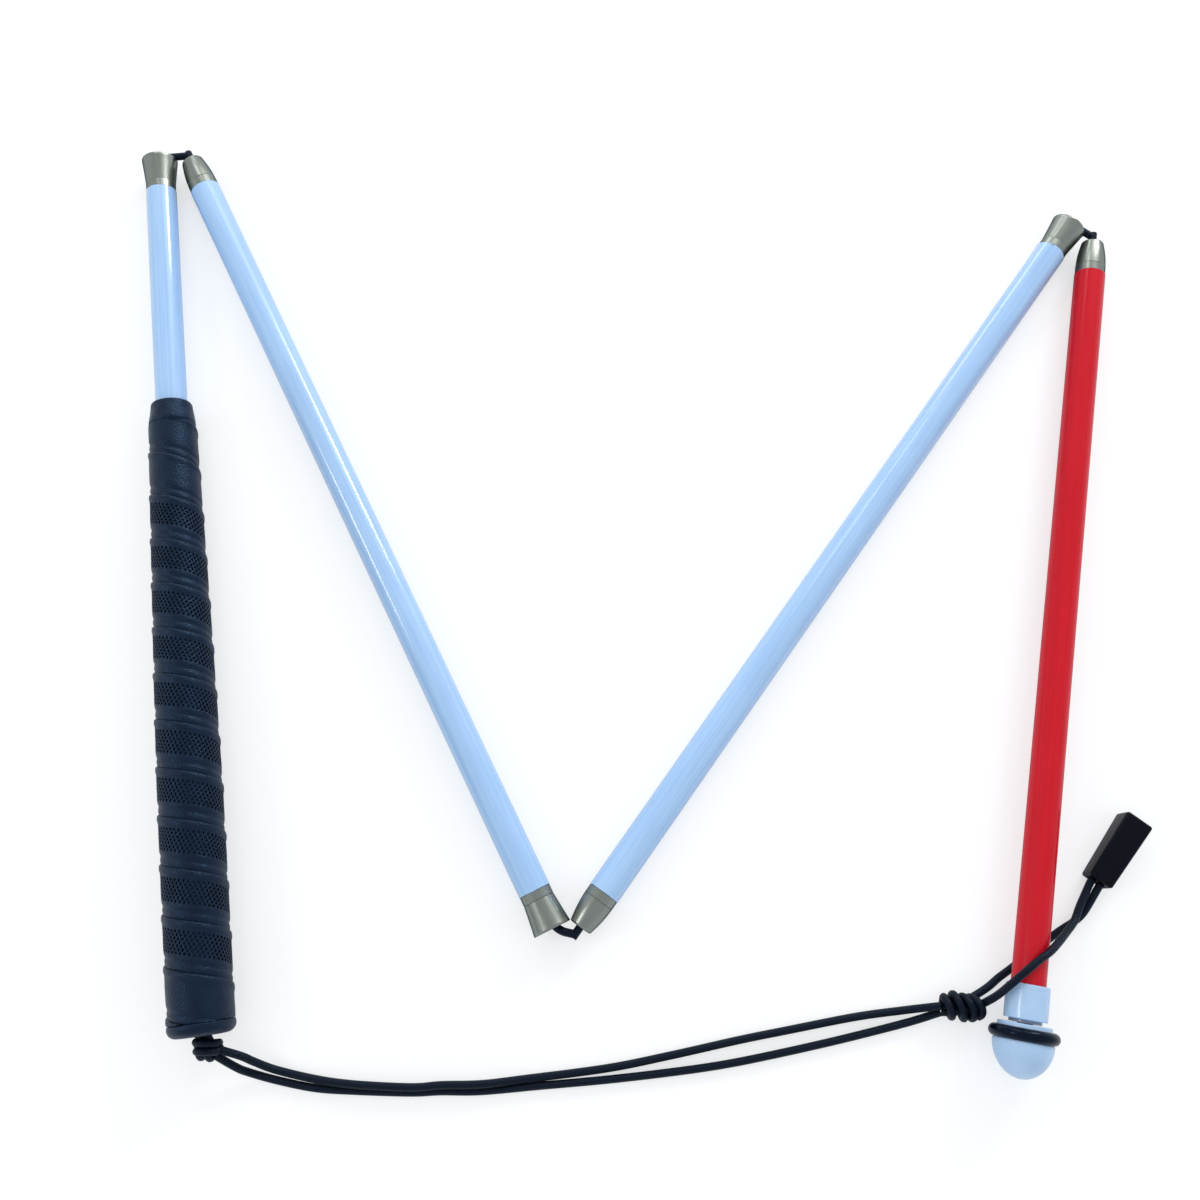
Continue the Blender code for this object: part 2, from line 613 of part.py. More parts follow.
def smooth_route(points, step):
    """Points about a step apart on a smooth curve through the route's own points."""
    places = [Vector(p) for p in points]
    padded = [places[0] * 2 - places[1]] + places + [places[-1] * 2 - places[-2]]
    fine = []
    for a, b, c, d in zip(padded, padded[1:], padded[2:], padded[3:]):
        for i in range(20):
            t = i / 20
            fine.append(0.5 * ((2 * b) + (c - a) * t + (2 * a - 5 * b + 4 * c - d) * t ** 2
                               + (3 * b - a - 3 * c + d) * t ** 3))
    fine.append(places[-1])
    total = sum((q - p).length for p, q in zip(fine, fine[1:]))
    count = max(2, round(total / step))
    route = [fine[0]]
    walked = 0.0
    for p, q in zip(fine, fine[1:]):
        walked += (q - p).length
        if walked >= total * len(route) / count - 1e-9 and len(route) < count:
            route.append(q)
    route.append(fine[-1])
    for place_at in route:
        place_at.z = max(place_at.z, CORD_FLOOR)
    return route


def make_cord(name, start, points, finish, step, frame, material):
    """A cord from one port, through the hand-set points, to another port."""
    curve = bpy.data.curves.new(name, "CURVE")
    curve.dimensions = "3D"
    curve.bevel_depth = LANYARD_RADIUS
    curve.bevel_resolution = 2
    curve.use_fill_caps = True
    route = [start[0]] + smooth_route([start[1], *points, finish[1]], step) + [finish[0]]
    spline = curve.splines.new("POLY")
    spline.points.add(len(route) - 1)
    for point, place_at in zip(spline.points, route):
        point.co = (*place_at, 1.0)
    curve.materials.append(material)
    thing = bpy.data.objects.new(name, curve)
    bpy.context.collection.objects.link(thing)
    place(thing, Matrix.Identity(4), frame)
    return thing


def port(world, across, up, along, sense):
    """Where a cord meets a face: its end, just clear of the face, and the next point straight out."""
    return (world @ Vector((across, up, along + sense * GAP)),
            world @ Vector((across, up, along + sense * (GAP + CORD_LEAD))))


def make_knot(name, world, length, width, height, parent, material):
    """A knot as a squat barrel along its frame's Z, with flat ends that the cords meet."""
    steps = 8
    outline = [(0.0, -length / 2)]
    for i in range(steps + 1):
        share = 2.0 * i / steps - 1.0
        swell = KNOT_END + (1.0 - KNOT_END) * math.sqrt(1.0 - share * share)
        outline.append((width / 2 * swell, length / 2 * share))
    outline.append((0.0, length / 2))
    frame = make_empty(name + "_frame", world, parent)
    return turned(name, outline, frame, material, KNOT_SIDES, height / width)


def make_toggle(world, parent, material):
    """A square bar lying on the floor, a little narrower at the cord's end, with its edges cut back."""
    bm = bmesh.new()
    bmesh.ops.create_cube(bm, size=1.0)
    for vert in bm.verts:
        at_cord = vert.co.z < 0.0
        width = TOGGLE_CORD_END if at_cord else TOGGLE_WIDTH
        vert.co.x *= width
        vert.co.y = -TOGGLE_CORD_END / 2 + (width if vert.co.y > 0.0 else 0.0)
        vert.co.z = 0.0 if at_cord else TOGGLE_LENGTH
    thing = finish_mesh("toggle", bm, make_empty("toggle_frame", world, parent), material)
    cut = thing.modifiers.new("edges", "BEVEL")
    cut.width = TOGGLE_CHAMFER
    cut.segments = 2
    cut.limit_method = "ANGLE"
    return thing


def grip_knot_world(handle):
    """The knot hangs against the butt's flat end, its length level and square to the handle."""
    butt = Vector((0.0, -GRIP_KNOT_DROP, HANDLE_LENGTH + GAP + GRIP_KNOT_WIDTH / 2))
    return frame_along(handle["world"] @ butt, heading_vector(HANDLE_HEADING + math.pi / 2))


def make_lanyard(handle, last, materials):
    cord = materials["cord"]
    grip = grip_knot_world(handle)
    loop = frame_along(Vector((*LOOP_KNOT_AT, LOOP_KNOT_HEIGHT / 2)), heading_vector(LOOP_KNOT_HEADING))
    toggle = frame_along(Vector((*TOGGLE_AT, TOGGLE_CORD_END / 2)), heading_vector(TOGGLE_HEADING))
    grip_end = GRIP_KNOT_LENGTH / 2
    loop_end = LOOP_KNOT_LENGTH / 2
    spread = CORD_SPREAD
    slant = CORD_SPREAD * math.sqrt(0.5)
    make_knot("grip_knot", grip, GRIP_KNOT_LENGTH, GRIP_KNOT_WIDTH, GRIP_KNOT_WIDTH, handle, cord)
    make_knot("loop_knot", loop, LOOP_KNOT_LENGTH, LOOP_KNOT_WIDTH, LOOP_KNOT_HEIGHT, last, cord)
    make_cord("lanyard_strand_upper", port(grip, spread, 0.0, grip_end, 1), UPPER_STRAND,
              port(loop, slant, slant, -loop_end, -1), CORD_STEP, handle, cord)
    make_cord("lanyard_strand_lower", port(grip, -spread, 0.0, grip_end, 1), LOWER_STRAND,
              port(loop, -slant, -slant, -loop_end, -1), CORD_STEP, handle, cord)
    make_cord("lanyard_loop_front", port(loop, 0.0, spread, loop_end, 1), LOOP_FRONT,
              port(toggle, spread, 0.0, 0.0, -1), LOOP_STEP, last, cord)
    make_cord("lanyard_loop_back", port(loop, 0.0, -spread, loop_end, 1), LOOP_BACK,
              port(toggle, -spread, 0.0, 0.0, -1), LOOP_STEP, last, cord)
    make_toggle(toggle, last, materials["toggle"])


def make_joint(number, parent, socket_hinge, out_heading, materials):
    """The bare elastic between a socket and a cone, and the joint's axis across it, equally far from
    the axes of both sections, so that they come into line. Returns the joint and the cone's place."""
    to_link, to_cone, length = JOINT_TURNS[number - 1]
    link_heading = out_heading + to_link
    along = heading_vector(link_heading)
    lean = make_empty(f"lean_{number}", frame_along(socket_hinge, along), parent)
    elastic_link(f"elastic_link_{number}", length, lean, materials["cord"])
    share = math.sin(to_cone) / (math.sin(to_link) + math.sin(to_cone))
    fold = make_empty(f"fold_{number}", Matrix.Translation(socket_hinge + along * length * share), parent)
    return fold, socket_hinge + along * length, link_heading + to_cone


def last_rise():
    """How steeply the last section lies, from the hinge's height up to the ring's radius."""
    reach = tip_stations()["ring"] + HINGE_FROM_NOSE
    return math.asin((RING_RADIUS + RING_SECTION - HINGE_HEIGHT) / reach)


def build():
    clear_scene()
    materials = {
        "white": make_material("white_sheath", (0.62, 0.74, 0.86), 0.35),
        "red": make_material("red_sheath", (0.52, 0.02, 0.03), 0.35),
        "ferrule": make_material("ferrule_metal", (0.33, 0.34, 0.29), 0.32, 1.0),
        "tube": make_material("tube_metal", (0.6, 0.6, 0.6), 0.35, 1.0),
        "steel": make_material("bearing_steel", (0.55, 0.56, 0.58), 0.25, 1.0),
        "grip": make_material("grip_rubber", (0.012, 0.018, 0.032), 0.5),
        "core": make_material("grip_foam", (0.05, 0.05, 0.055), 0.8),
        "cord": make_material("elastic_cord", (0.01, 0.013, 0.02), 0.6),
        "anchor": make_material("anchor_plastic", (0.05, 0.05, 0.05), 0.5),
        "tip": make_material("tip_plastic", (0.6, 0.72, 0.86), 0.3),
        "rubber": make_material("ring_rubber", (0.01, 0.013, 0.02), 0.2),
        "toggle": make_material("toggle_plastic", (0.006, 0.006, 0.009), 0.35),
    }
    hinge = Vector((*HANDLE_HINGE, HINGE_HEIGHT))
    along = heading_vector(HANDLE_HEADING, handle_rise())
    handle = make_empty("handle_frame", frame_along(hinge + along * HINGE_FROM_MOUTH, along))
    make_handle(handle, materials)
    parent = handle
    out_heading = HANDLE_HEADING + math.pi
    for number in (1, 2, 3):
        fold, cone_hinge, heading = make_joint(number, parent, hinge, out_heading, materials)
        rise = last_rise() if number == 3 else 0.0
        along = heading_vector(heading, rise)
        stub = make_empty(f"stub_{number}_frame", frame_along(cone_hinge + along * HINGE_FROM_NOSE, along), fold)
        turned(f"elastic_stub_{number}", rod_outline(ELASTIC_RADIUS, *stub_range()), stub,
               materials["cord"], CORD_SIDES)
        section = make_empty(f"section_{number + 1}_frame", stub["world"], fold)
        if number < 3:
            make_section(number + 1, section, materials, materials["white"])
            hinge = cone_hinge + along * (HINGE_FROM_NOSE + SECTION_LENGTH + HINGE_FROM_MOUTH)
            out_heading = heading
        else:
            make_last_section(section, materials)
        parent = section
    tip = make_empty("tip_frame", section["world"], section)
    make_tip(section, tip, materials)
    make_lanyard(handle, section, materials)


build()
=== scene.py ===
import json
from math import acos, asin, cos, degrees, hypot, pi, radians, sin, tau

import bmesh
import bpy
import numpy as np
from mathutils import Matrix, Vector

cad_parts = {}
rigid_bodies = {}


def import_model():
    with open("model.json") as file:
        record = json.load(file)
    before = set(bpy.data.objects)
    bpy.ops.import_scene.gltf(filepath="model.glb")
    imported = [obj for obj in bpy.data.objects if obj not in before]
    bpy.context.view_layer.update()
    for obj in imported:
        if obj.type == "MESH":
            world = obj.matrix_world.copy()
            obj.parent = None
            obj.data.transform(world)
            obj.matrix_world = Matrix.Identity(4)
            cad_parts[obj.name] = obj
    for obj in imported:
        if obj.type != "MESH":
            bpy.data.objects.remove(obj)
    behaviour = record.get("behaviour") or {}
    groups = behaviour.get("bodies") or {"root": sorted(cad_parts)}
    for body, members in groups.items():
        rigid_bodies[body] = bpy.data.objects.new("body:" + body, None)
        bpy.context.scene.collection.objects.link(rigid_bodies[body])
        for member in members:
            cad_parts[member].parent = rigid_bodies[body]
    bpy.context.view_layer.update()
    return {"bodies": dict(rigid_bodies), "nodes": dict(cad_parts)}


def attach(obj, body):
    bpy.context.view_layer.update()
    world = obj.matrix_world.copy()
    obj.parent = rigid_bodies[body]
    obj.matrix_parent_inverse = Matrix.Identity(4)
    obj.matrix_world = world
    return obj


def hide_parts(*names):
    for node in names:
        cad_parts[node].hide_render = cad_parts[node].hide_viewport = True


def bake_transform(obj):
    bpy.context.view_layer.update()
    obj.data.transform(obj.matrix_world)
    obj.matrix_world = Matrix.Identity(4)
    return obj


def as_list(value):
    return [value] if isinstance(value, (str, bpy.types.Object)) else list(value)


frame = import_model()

mm = 0.001  # a millimetre, in metres

print("frame:", len(frame["nodes"]), "nodes on", len(frame["bodies"]), "bodies")


class Sizes(dict):  # a dictionary whose values are read with a dot
    __getattr__ = dict.__getitem__


def shown(name, data):
    made = bpy.data.objects.new(name, data)
    bpy.context.scene.collection.objects.link(made)
    return made


# camera, at the photograph's own angle

cameraPlace = Sizes(
    place=(-0.01399, -0.13254, 0.49687), tilt=13.963, lean=-0.5306, lens=37.665, sensor=36.0, near=0.01, far=20.0)


def makeCamera(v):
    lens = bpy.data.cameras.new("camera")
    lens.lens, lens.sensor_width = v.lens, v.sensor
    lens.clip_start, lens.clip_end = v.near, v.far
    camera = shown("camera", lens)
    camera.location = v.place
    turn = Matrix.Rotation(radians(v.tilt), 3, "X") @ Matrix.Rotation(radians(v.lean), 3, "Y")
    camera.rotation_euler = turn.to_euler()
    bpy.context.scene.camera = camera


makeCamera(cameraPlace)
print("camera placed")


# node making: one class for a socket that takes part in sums, one for a tree that makes nodes

def operation(kind, turned=False):  # a method that joins two values in a node
    def joined(self, other):
        pair = (other, self) if turned else (self, other)
        return self.maker.shade("Math", {0: pair[0], 1: pair[1]}, operation=kind)
    return joined


class Field:
    def __init__(self, maker, socket):
        self.maker, self.socket = maker, socket

    __add__, __radd__ = operation("ADD"), operation("ADD", True)
    __sub__, __rsub__ = operation("SUBTRACT"), operation("SUBTRACT", True)
    __mul__, __truediv__ = operation("MULTIPLY"), operation("DIVIDE")
    __pow__, __mod__ = operation("POWER"), operation("MODULO")
    __gt__, __lt__ = operation("GREATER_THAN"), operation("LESS_THAN")
    least, most, arcTangent = operation("MINIMUM"), operation("MAXIMUM"), operation("ARCTAN2")

    def call(self, kind): return self.maker.shade("Math", {0: self}, operation=kind)
    def output(self, name): return Field(self.maker, self.socket.node.outputs[name])


def setBends(mapping, places):
    points = mapping.curves[0].points
    while len(points) < len(places):
        points.new(0.5, 0.5)
    for point, place in zip(points, places):
        point.location, point.handle_type = place, "AUTO_CLAMPED"
    mapping.update()


class Maker:
    def __init__(self, tree):
        self.tree = tree

    def shade(self, kind, *facts, **settings): return self.node("ShaderNode" + kind, *facts, **settings)
    def geo(self, kind, *facts, **settings): return self.node("GeometryNode" + kind, *facts, **settings)

    def node(self, kind, values=None, output=0, **settings):
        made = self.tree.nodes.new(kind)
        for name, value in settings.items():
            if name == "bends":
                setBends(made.mapping, value)
            else:
                setattr(made, name, value)
        for name, value in (values or {}).items():
            self.put(made.inputs[name], value)
        return Field(self, made.outputs[output]) if len(made.outputs) else None

    def put(self, socket, value):
        if isinstance(value, Field):
            self.tree.links.new(value.socket, socket)
        else:
            socket.default_value = value

    def vector(self, x, y, z):
        return self.shade("CombineXYZ", {"X": x, "Y": y, "Z": z})

    def parts(self, vector):
        split = self.shade("SeparateXYZ", {0: vector})
        return split, split.output("Y"), split.output("Z")

    def scaled(self, vector, sizes):
        return self.shade("VectorMath", {0: vector, 1: sizes}, operation="MULTIPLY")

    def noise(self, vector, scale, detail, roughness=0.5):
        return self.shade("TexNoise", {"Vector": vector, "Scale": scale, "Detail": detail, "Roughness": roughness})

    def blendColour(self, share, first, second):
        return self.shade("Mix", {0: share, 6: first, 7: second}, 2, data_type="RGBA")

    def seen(self):  # whether the camera looks here, and whether a mirror does
        rays = self.shade("LightPath")
        return rays.output("Is Camera Ray").most(rays.output("Is Transmission Ray")), rays.output("Is Glossy Ray")

    def ramp(self, value, low, high, outLow=0.0, outHigh=1.0):
        return self.shade("MapRange", {"Value": value, "From Min": low, "From Max": high, "To Min": outLow,
                                       "To Max": outHigh})


class Finish(Maker):
    def __init__(self, name, values):
        self.material = bpy.data.materials.new(name)
        self.material.use_nodes = True
        super().__init__(self.material.node_tree)
        self.shader = self.tree.nodes["Principled BSDF"]
        for socket, value in values.items():
            self.put(self.shader.inputs[socket], value)

    def spot(self):  # the piece's own coordinates, in millimetres
        return self.scaled(self.shade("Attribute", output="Vector", attribute_name="onPiece"), (1.0 / mm,) * 3)

    def bump(self, height, distance):
        self.put(self.shader.inputs["Normal"], self.shade("Bump", {"Height": height, "Distance": distance}))

    def paint(self, share, dark, light, rough):  # two screen colours mixed by a share, and a roughness
        self.put(self.shader.inputs["Base Color"], self.blendColour(share, colour(*dark), colour(*light)))
        self.put(self.shader.inputs["Roughness"], rough)


def colour(red, green, blue):  # a screen colour out of 255, as the shader wants it
    return tuple((c / 255 / 12.92 if c < 10.5 else ((c / 255 + 0.055) / 1.055) ** 2.4)
                 for c in (red, green, blue)) + (1.0,)


# finishes

filmLook = Sizes(
    white=(176, 211, 249), whiteDeep=(163, 199, 240), red=(212, 22, 40), redDeep=(203, 17, 34), whiteCoat=0.9,
    redCoat=0.26, whiteShine=0.35, redShine=0.12, rough=0.36, roughSpread=0.12, wave=0.00003)


def makeFilm(look, tone):
    film = Finish(f"{tone}Film", {"Coat Weight": look[f"{tone}Coat"], "Coat Roughness": 0.08, "IOR": 1.5,
                                  "Specular IOR Level": look[f"{tone}Shine"]})
    spot = film.spot()
    streak = film.noise(film.scaled(spot, (0.9, 0.9, 0.012)), 1.0, 3.0)
    cloud = film.noise(film.scaled(spot, (0.25, 0.25, 0.05)), 1.0, 2.0)
    share = film.ramp(streak * 0.7 + cloud * 0.3, 0.38, 0.62)
    film.paint(share, look[f"{tone}Deep"], look[tone], look.rough + (streak - 0.5) * look.roughSpread)
    fine = film.noise(spot, 1.4, 2.0)
    wave = film.noise(film.scaled(spot, (0.35, 0.35, 0.03)), 1.0, 2.0)
    film.bump(wave + fine * 0.03, look.wave)
    return film.material


# edge: a dark bluish tint of the grazing reflections, which darkens the metal's sides: a painted reflection of dark
# surroundings
metalLook = Sizes(
    light=(163, 167, 159), dark=(157, 161, 153), edge=(0.1, 0.14, 0.18, 1.0), rough=0.31, spread=0.02, grain=0.0000008)


def makeFerruleMetal(look):
    metal = Finish("ferruleMetal", {"Metallic": 1.0, "Specular Tint": look.edge})
    spot = metal.spot()
    brush = metal.noise(metal.scaled(spot, (1.1, 1.1, 0.03)), 1.0, 2.0, 0.4)
    share = metal.ramp(brush, 0.35, 0.65)
    metal.paint(share, look.dark, look.light, look.rough + (brush - 0.5) * look.spread)
    metal.bump(brush, look.grain)
    return metal.material


# tint: a blue tint of the grip's reflections, standing in for bluish light: painted blue in its highlights
gripLook = Sizes(dark=(5, 9, 17), light=(13, 22, 39), rough=0.37, grain=0.00018, tint=(0.32, 0.58, 1.0, 1.0))


def makeGripRubber(look):
    rubber = Finish("gripRubber", {"Specular Tint": look.tint, "Specular IOR Level": 0.58})
    spot = rubber.spot()
    cells = rubber.shade("TexVoronoi", {"Vector": spot, "Scale": 1.7, "Smoothness": 0.6}, "Distance",
                         feature="SMOOTH_F1")
    patch = rubber.noise(spot, 0.16, 3.0)
    fine = rubber.noise(spot, 5.0, 3.0)
    share = rubber.ramp(patch * 0.7 + cells * 0.4, 0.3, 0.75)
    rubber.paint(share, look.dark, look.light, look.rough + (patch - 0.5) * 0.25 + (cells - 0.4) * 0.1)
    rubber.bump(cells * -0.8 + fine * 0.2 + patch * 0.6, look.grain)
    return rubber.material


# cord tones: the light tone is a painted highlight on the raised strands and the dark tone painted shade in the
# grooves; tint gives the reflections a blue that stands in for bluish light
cordLook = Sizes(
    dark=(2, 3, 6), light=(12, 17, 31), rough=0.52, plaits=10, pitch=0.0021, depth=0.00009, tint=(0.5, 0.7, 1.0, 1.0))


def makeCordBraid(look):
    braid = Finish("cordBraid", {"Specular Tint": look.tint, "Specular IOR Level": 0.3})
    around, length, _ = braid.parts(braid.shade("UVMap", uv_map="alongCord"))
    around, length = around * (look.plaits * tau), length * (tau / look.pitch)
    over = (around + length).call("SINE").most((around - length).call("SINE"))
    fuzz = braid.noise(braid.spot(), 9.0, 3.0)
    height = over * 0.5 + 0.5
    # the plait height lightens the raised strands and darkens the grooves between them: painted highlight and painted
    # shade; the fuzz adds random tone
    share = (height * 0.75 + fuzz * 0.5 - 0.15).most(0.0).least(1.0)
    braid.paint(share, look.dark, look.light, look.rough - height * 0.16 + (fuzz - 0.5) * 0.2)
    braid.bump(height + fuzz * 0.25, look.depth)
    return braid.material


# neck: the grey of painted shade on the neck, from neckFrom to neckTo along the section
tipLook = Sizes(
    light=(184, 214, 245), deep=(177, 207, 239), rough=0.3, neck=(140, 146, 160), neckFrom=324.86, neckTo=326.2)


def makeTipPlastic(look):
    plastic = Finish("tipPlastic", {"Coat Weight": 0.5, "Coat Roughness": 0.08, "Subsurface Weight": 0.06,
                                    "Subsurface Scale": 0.002})
    spot = plastic.spot()
    cloud = plastic.noise(spot, 0.12, 1.0)
    fine = plastic.noise(spot, 3.5, 3.0)
    height = plastic.parts(spot)[2]
    # the neck band between the sleeve and the flange is painted grey, darker than the pale plastic: painted shade in
    # the gap between the parts
    neck = (height > look.neckFrom) * (height < look.neckTo)
    pale = plastic.blendColour(plastic.ramp(cloud, 0.35, 0.65), colour(*look.deep), colour(*look.light))
    plastic.put(plastic.shader.inputs["Base Color"], plastic.blendColour(neck, pale, colour(*look.neck)))
    plastic.put(plastic.shader.inputs["Roughness"], look.rough + (cloud - 0.5) * 0.1 + (fine - 0.5) * 0.08)
    plastic.bump(fine, 0.00001)
    return plastic.material


def makeDark(name, dark, light, rough, tint, grain, scale):  # the ring and the toggle
    black = Finish(name, {"Specular Tint": tint, "Specular IOR Level": 0.22})
    spot = black.spot()
    cloud = black.noise(spot, 0.3, 2.0)
    fine = black.noise(spot, scale, 3.0)
    black.paint(black.ramp(cloud + fine * 0.3, 0.4, 0.9), dark, light,
                rough + (cloud - 0.5) * 0.12 + (fine - 0.5) * 0.1)
    black.bump(fine, grain)
    return black.material


def makeInner(name, dark, light, rough, metallic, scale):  # pieces inside, read on plain object coordinates
    inner = Finish(name, {"Metallic": metallic})
    grain = inner.noise(inner.shade("TexCoord", output="Object"), scale, 3.0)
    inner.paint(inner.ramp(grain, 0.3, 0.7), dark, light, rough + (grain - 0.5) * 0.2)
    inner.bump(grain, 0.00002)
    return inner.material


finishes = {
    "white": makeFilm(filmLook, "white"),
    "red": makeFilm(filmLook, "red"),
    "ferrule": makeFerruleMetal(metalLook),
    "grip": makeGripRubber(gripLook),
    "cord": makeCordBraid(cordLook),
    "tip": makeTipPlastic(tipLook),
    # the ring and the toggle carry a blue tint of their reflections, standing in for bluish light: painted blue in
    # their highlights
    "ring": makeDark("ringRubber", (4, 7, 16), (12, 18, 36), 0.19, (0.5, 0.7, 1.0, 1.0), 0.000006, 1.5),
    "toggle": makeDark("togglePlastic", (2, 2, 4), (6, 7, 11), 0.36, (0.6, 0.75, 1.0, 1.0), 0.00002, 4.0),
    "tube": makeInner("tubeMetal", (150, 152, 154), (190, 192, 194), 0.35, 1.0, 600.0),
    "steel": makeInner("bearingSteel", (150, 152, 156), (205, 207, 210), 0.25, 1.0, 900.0),
    "foam": makeInner("gripFoam", (38, 38, 42), (62, 62, 66), 0.85, 0.0, 1600.0),
    "anchor": makeInner("anchorPlastic", (48, 48, 50), (70, 70, 74), 0.5, 0.0, 1200.0),
    "plainCord": makeInner("innerCord", (14, 16, 24), (36, 40, 52), 0.7, 0.0, 3000.0),
}
slots = {"white": "white_sheath", "red": "red_sheath", "ferrule": "ferrule_metal", "grip": "grip_rubber",
         "cord": "elastic_cord", "tip": "tip_plastic", "ring": "ring_rubber", "toggle": "toggle_plastic"}
print("finishes made:", len(finishes))


# where each section lies: the same chain of hinge points as the CAD

layout = Sizes(
    hinge=(-0.202157, 0.190172), height=0.0075, heading=-82.58, handleRise=1.0593,
    turns=((-96.67, -64.58, 0.01293), (68.68, 49.40, 0.00701), (-95.60, -58.90, 0.01123)), fromMouth=0.0031,
    fromNose=0.0035, section=0.3631, ringRise=0.00525, ringAt=0.33)


def way(heading, rise=0.0):
    a, b = radians(heading), radians(rise)
    return Vector((cos(a) * cos(b), sin(a) * cos(b), sin(b)))


def frameAlong(origin, direction):
    z = direction.normalized()
    x = Vector((0.0, 0.0, 1.0)).cross(z).normalized()
    made = Matrix((x, z.cross(x), z)).transposed().to_4x4()
    made.translation = origin
    return made


def layOut(v):
    hinge = Vector((*v.hinge, v.height))
    along = way(v.heading, v.handleRise)
    places, joints = {"handle": frameAlong(hinge + along * v.fromMouth, along)}, []
    out = v.heading + 180.0
    for number, (toLink, toCone, length) in enumerate(v.turns, 2):
        cone = hinge + way(out + toLink) * length
        heading = out + toLink + toCone
        rise = degrees(asin(v.ringRise / (v.ringAt + v.fromNose))) if number == 4 else 0.0
        along = way(heading, rise)
        joints.append((hinge.copy(), way(out), way(out + toLink), cone, along))
        places[f"section_{number}"] = frameAlong(cone + along * v.fromNose, along)
        hinge = cone + along * (v.fromNose + v.section + v.fromMouth)
        out = heading
    return places, joints


places, joints = layOut(layout)
places["tip"] = places["section_4"]  # the tip turns on the last section's own axis


# mesh helpers

def plain(body):  # how pieces' names write a body
    return body.replace("_", "")


def settle(piece, finish, body, node, place=None):
    mesh = piece.data
    spots = np.empty(len(mesh.vertices) * 3, np.float32)
    mesh.vertices.foreach_get("co", spots)
    mesh.attributes.new("onPiece", "FLOAT_VECTOR", "POINT").data.foreach_set("vector", spots)
    if place:
        mesh.transform(place)
    mesh.update()
    mesh.materials.clear()
    mesh.materials.append(finishes[finish])
    bpy.context.scene.collection.objects.link(piece)
    if body:
        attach(piece, body)
    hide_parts(node)
    slots[finish]
    return piece


def smoothed(name, mesh, sharp):
    mesh.shade_smooth()
    mesh.set_sharp_from_angle(angle=radians(sharp))
    return bpy.data.objects.new(name, mesh)


def baked(carrier, name, sharp):  # a new object with the carrier's mesh as its modifiers leave it
    bpy.context.view_layer.update()
    mesh = bpy.data.meshes.new_from_object(carrier.evaluated_get(bpy.context.evaluated_depsgraph_get()))
    bpy.data.objects.remove(carrier)
    return smoothed(name, mesh, sharp)


def meshPiece(name, verts, faces, sharp, uvs=None):  # with no map, points that meet are merged
    mesh = bpy.data.meshes.new(name)
    mesh.from_pydata([tuple(v) for v in verts], [], faces)
    if uvs:
        layer = mesh.uv_layers.new(name="alongCord")
        layer.data.foreach_set("uv", np.array(uvs, np.float32).ravel())
    else:
        work = bmesh.new()
        work.from_mesh(mesh)
        bmesh.ops.remove_doubles(work, verts=work.verts, dist=1e-8)
        bmesh.ops.recalc_face_normals(work, faces=work.faces)
        work.to_mesh(mesh)
        work.free()
    return smoothed(name, mesh, sharp)


def rounded(before, here, after, reach, most, steps):  # a curve in place of a corner, in 2-D or 3-D
    before, after = before - here, after - here
    a = here + before.normalized() * min(reach, before.length * most)
    b = here + after.normalized() * min(reach, after.length * most)
    return [a * (1 - t) ** 2 + here * (2 * t * (1 - t)) + b * t * t for t in (i / steps for i in range(steps + 1))]


def softOutline(corners, steps):
    spots, points = [Vector(corner[:2]) for corner in corners], []
    for i, (radius, height, reach) in enumerate(corners):
        if reach > 0.0:
            curve = rounded(spots[i - 1], spots[i], spots[(i + 1) % len(spots)], reach, 0.48, steps)
            points += [tuple(spot) for spot in curve]
        else:
            points.append((radius, height))
    return points


def arc(centre, height, across, up, angles):  # points of an ellipse in an outline
    return [(centre + across * cos(radians(a)), height + up * sin(radians(a))) for a in angles]


def stretched(outline, step):  # adds points to long straight runs
    longer = []
    for (r0, z0), (r1, z1) in zip(outline, outline[1:] + outline[:1]):
        parts = max(1, int(hypot(r1 - r0, z1 - z0) / step))
        longer += [(r0 + (r1 - r0) * k / parts, z0 + (z1 - z0) * k / parts) for k in range(parts)]
    return longer


def turnedPiece(name, outline, angles, shape=None, sharp=40.0):  # the outline is in millimetres
    if isinstance(angles, int):
        angles = [tau * i / angles for i in range(angles)]
    verts, rings = [], []
    for radius, height in outline:
        if radius < 1e-9:
            rings.append([len(verts)])
            verts.append((0.0, 0.0, height * mm))
            continue
        ring = []
        for angle in angles:
            r, z = shape(angle, radius, height) if shape else (radius, height)
            ring.append(len(verts))
            verts.append((r * mm * cos(angle), r * mm * sin(angle), z * mm))
        rings.append(ring)
    faces, count = [], len(angles)
    for one, two in zip(rings, rings[1:] + rings[:1]):
        for i in range(count if len(one) + len(two) > 2 else 0):
            j = (i + 1) % count
            corners = one[i % len(one)], one[j % len(one)], two[j % len(two)], two[i % len(two)]
            faces.append(tuple(dict.fromkeys(corners)))  # a triangle where one ring is a single point
    return meshPiece(name, verts, faces, sharp)


def addTurned(name, outline, angles, finish, body, node, shape=None, sharp=40.0):
    settle(turnedPiece(name, outline, angles, shape, sharp), finish, body, node, places[body])


def walkedAlong(line):
    return np.concatenate([[0.0], np.cumsum(np.linalg.norm(np.diff(line, axis=0), axis=1))])


spanSteps = 24


def smoothRoute(points, step):
    spots = [Vector(p) for p in points]
    padded = [spots[0] * 2 - spots[1]] + spots + [spots[-1] * 2 - spots[-2]]
    fine = []
    for a, b, c, d in zip(padded, padded[1:], padded[2:], padded[3:]):
        for i in range(spanSteps):
            t = i / spanSteps
            fine.append(0.5 * ((2 * b) + (c - a) * t + (2 * a - 5 * b + 4 * c - d) * t ** 2
                               + (3 * b - a - 3 * c + d) * t ** 3))
    fine.append(spots[-1])
    line = np.array(fine)
    walked = walkedAlong(line)
    even = np.linspace(0.0, walked[-1], max(2, round(walked[-1] / step)) + 1)
    return np.stack([np.interp(even, walked, line[:, k]) for k in range(3)], 1)


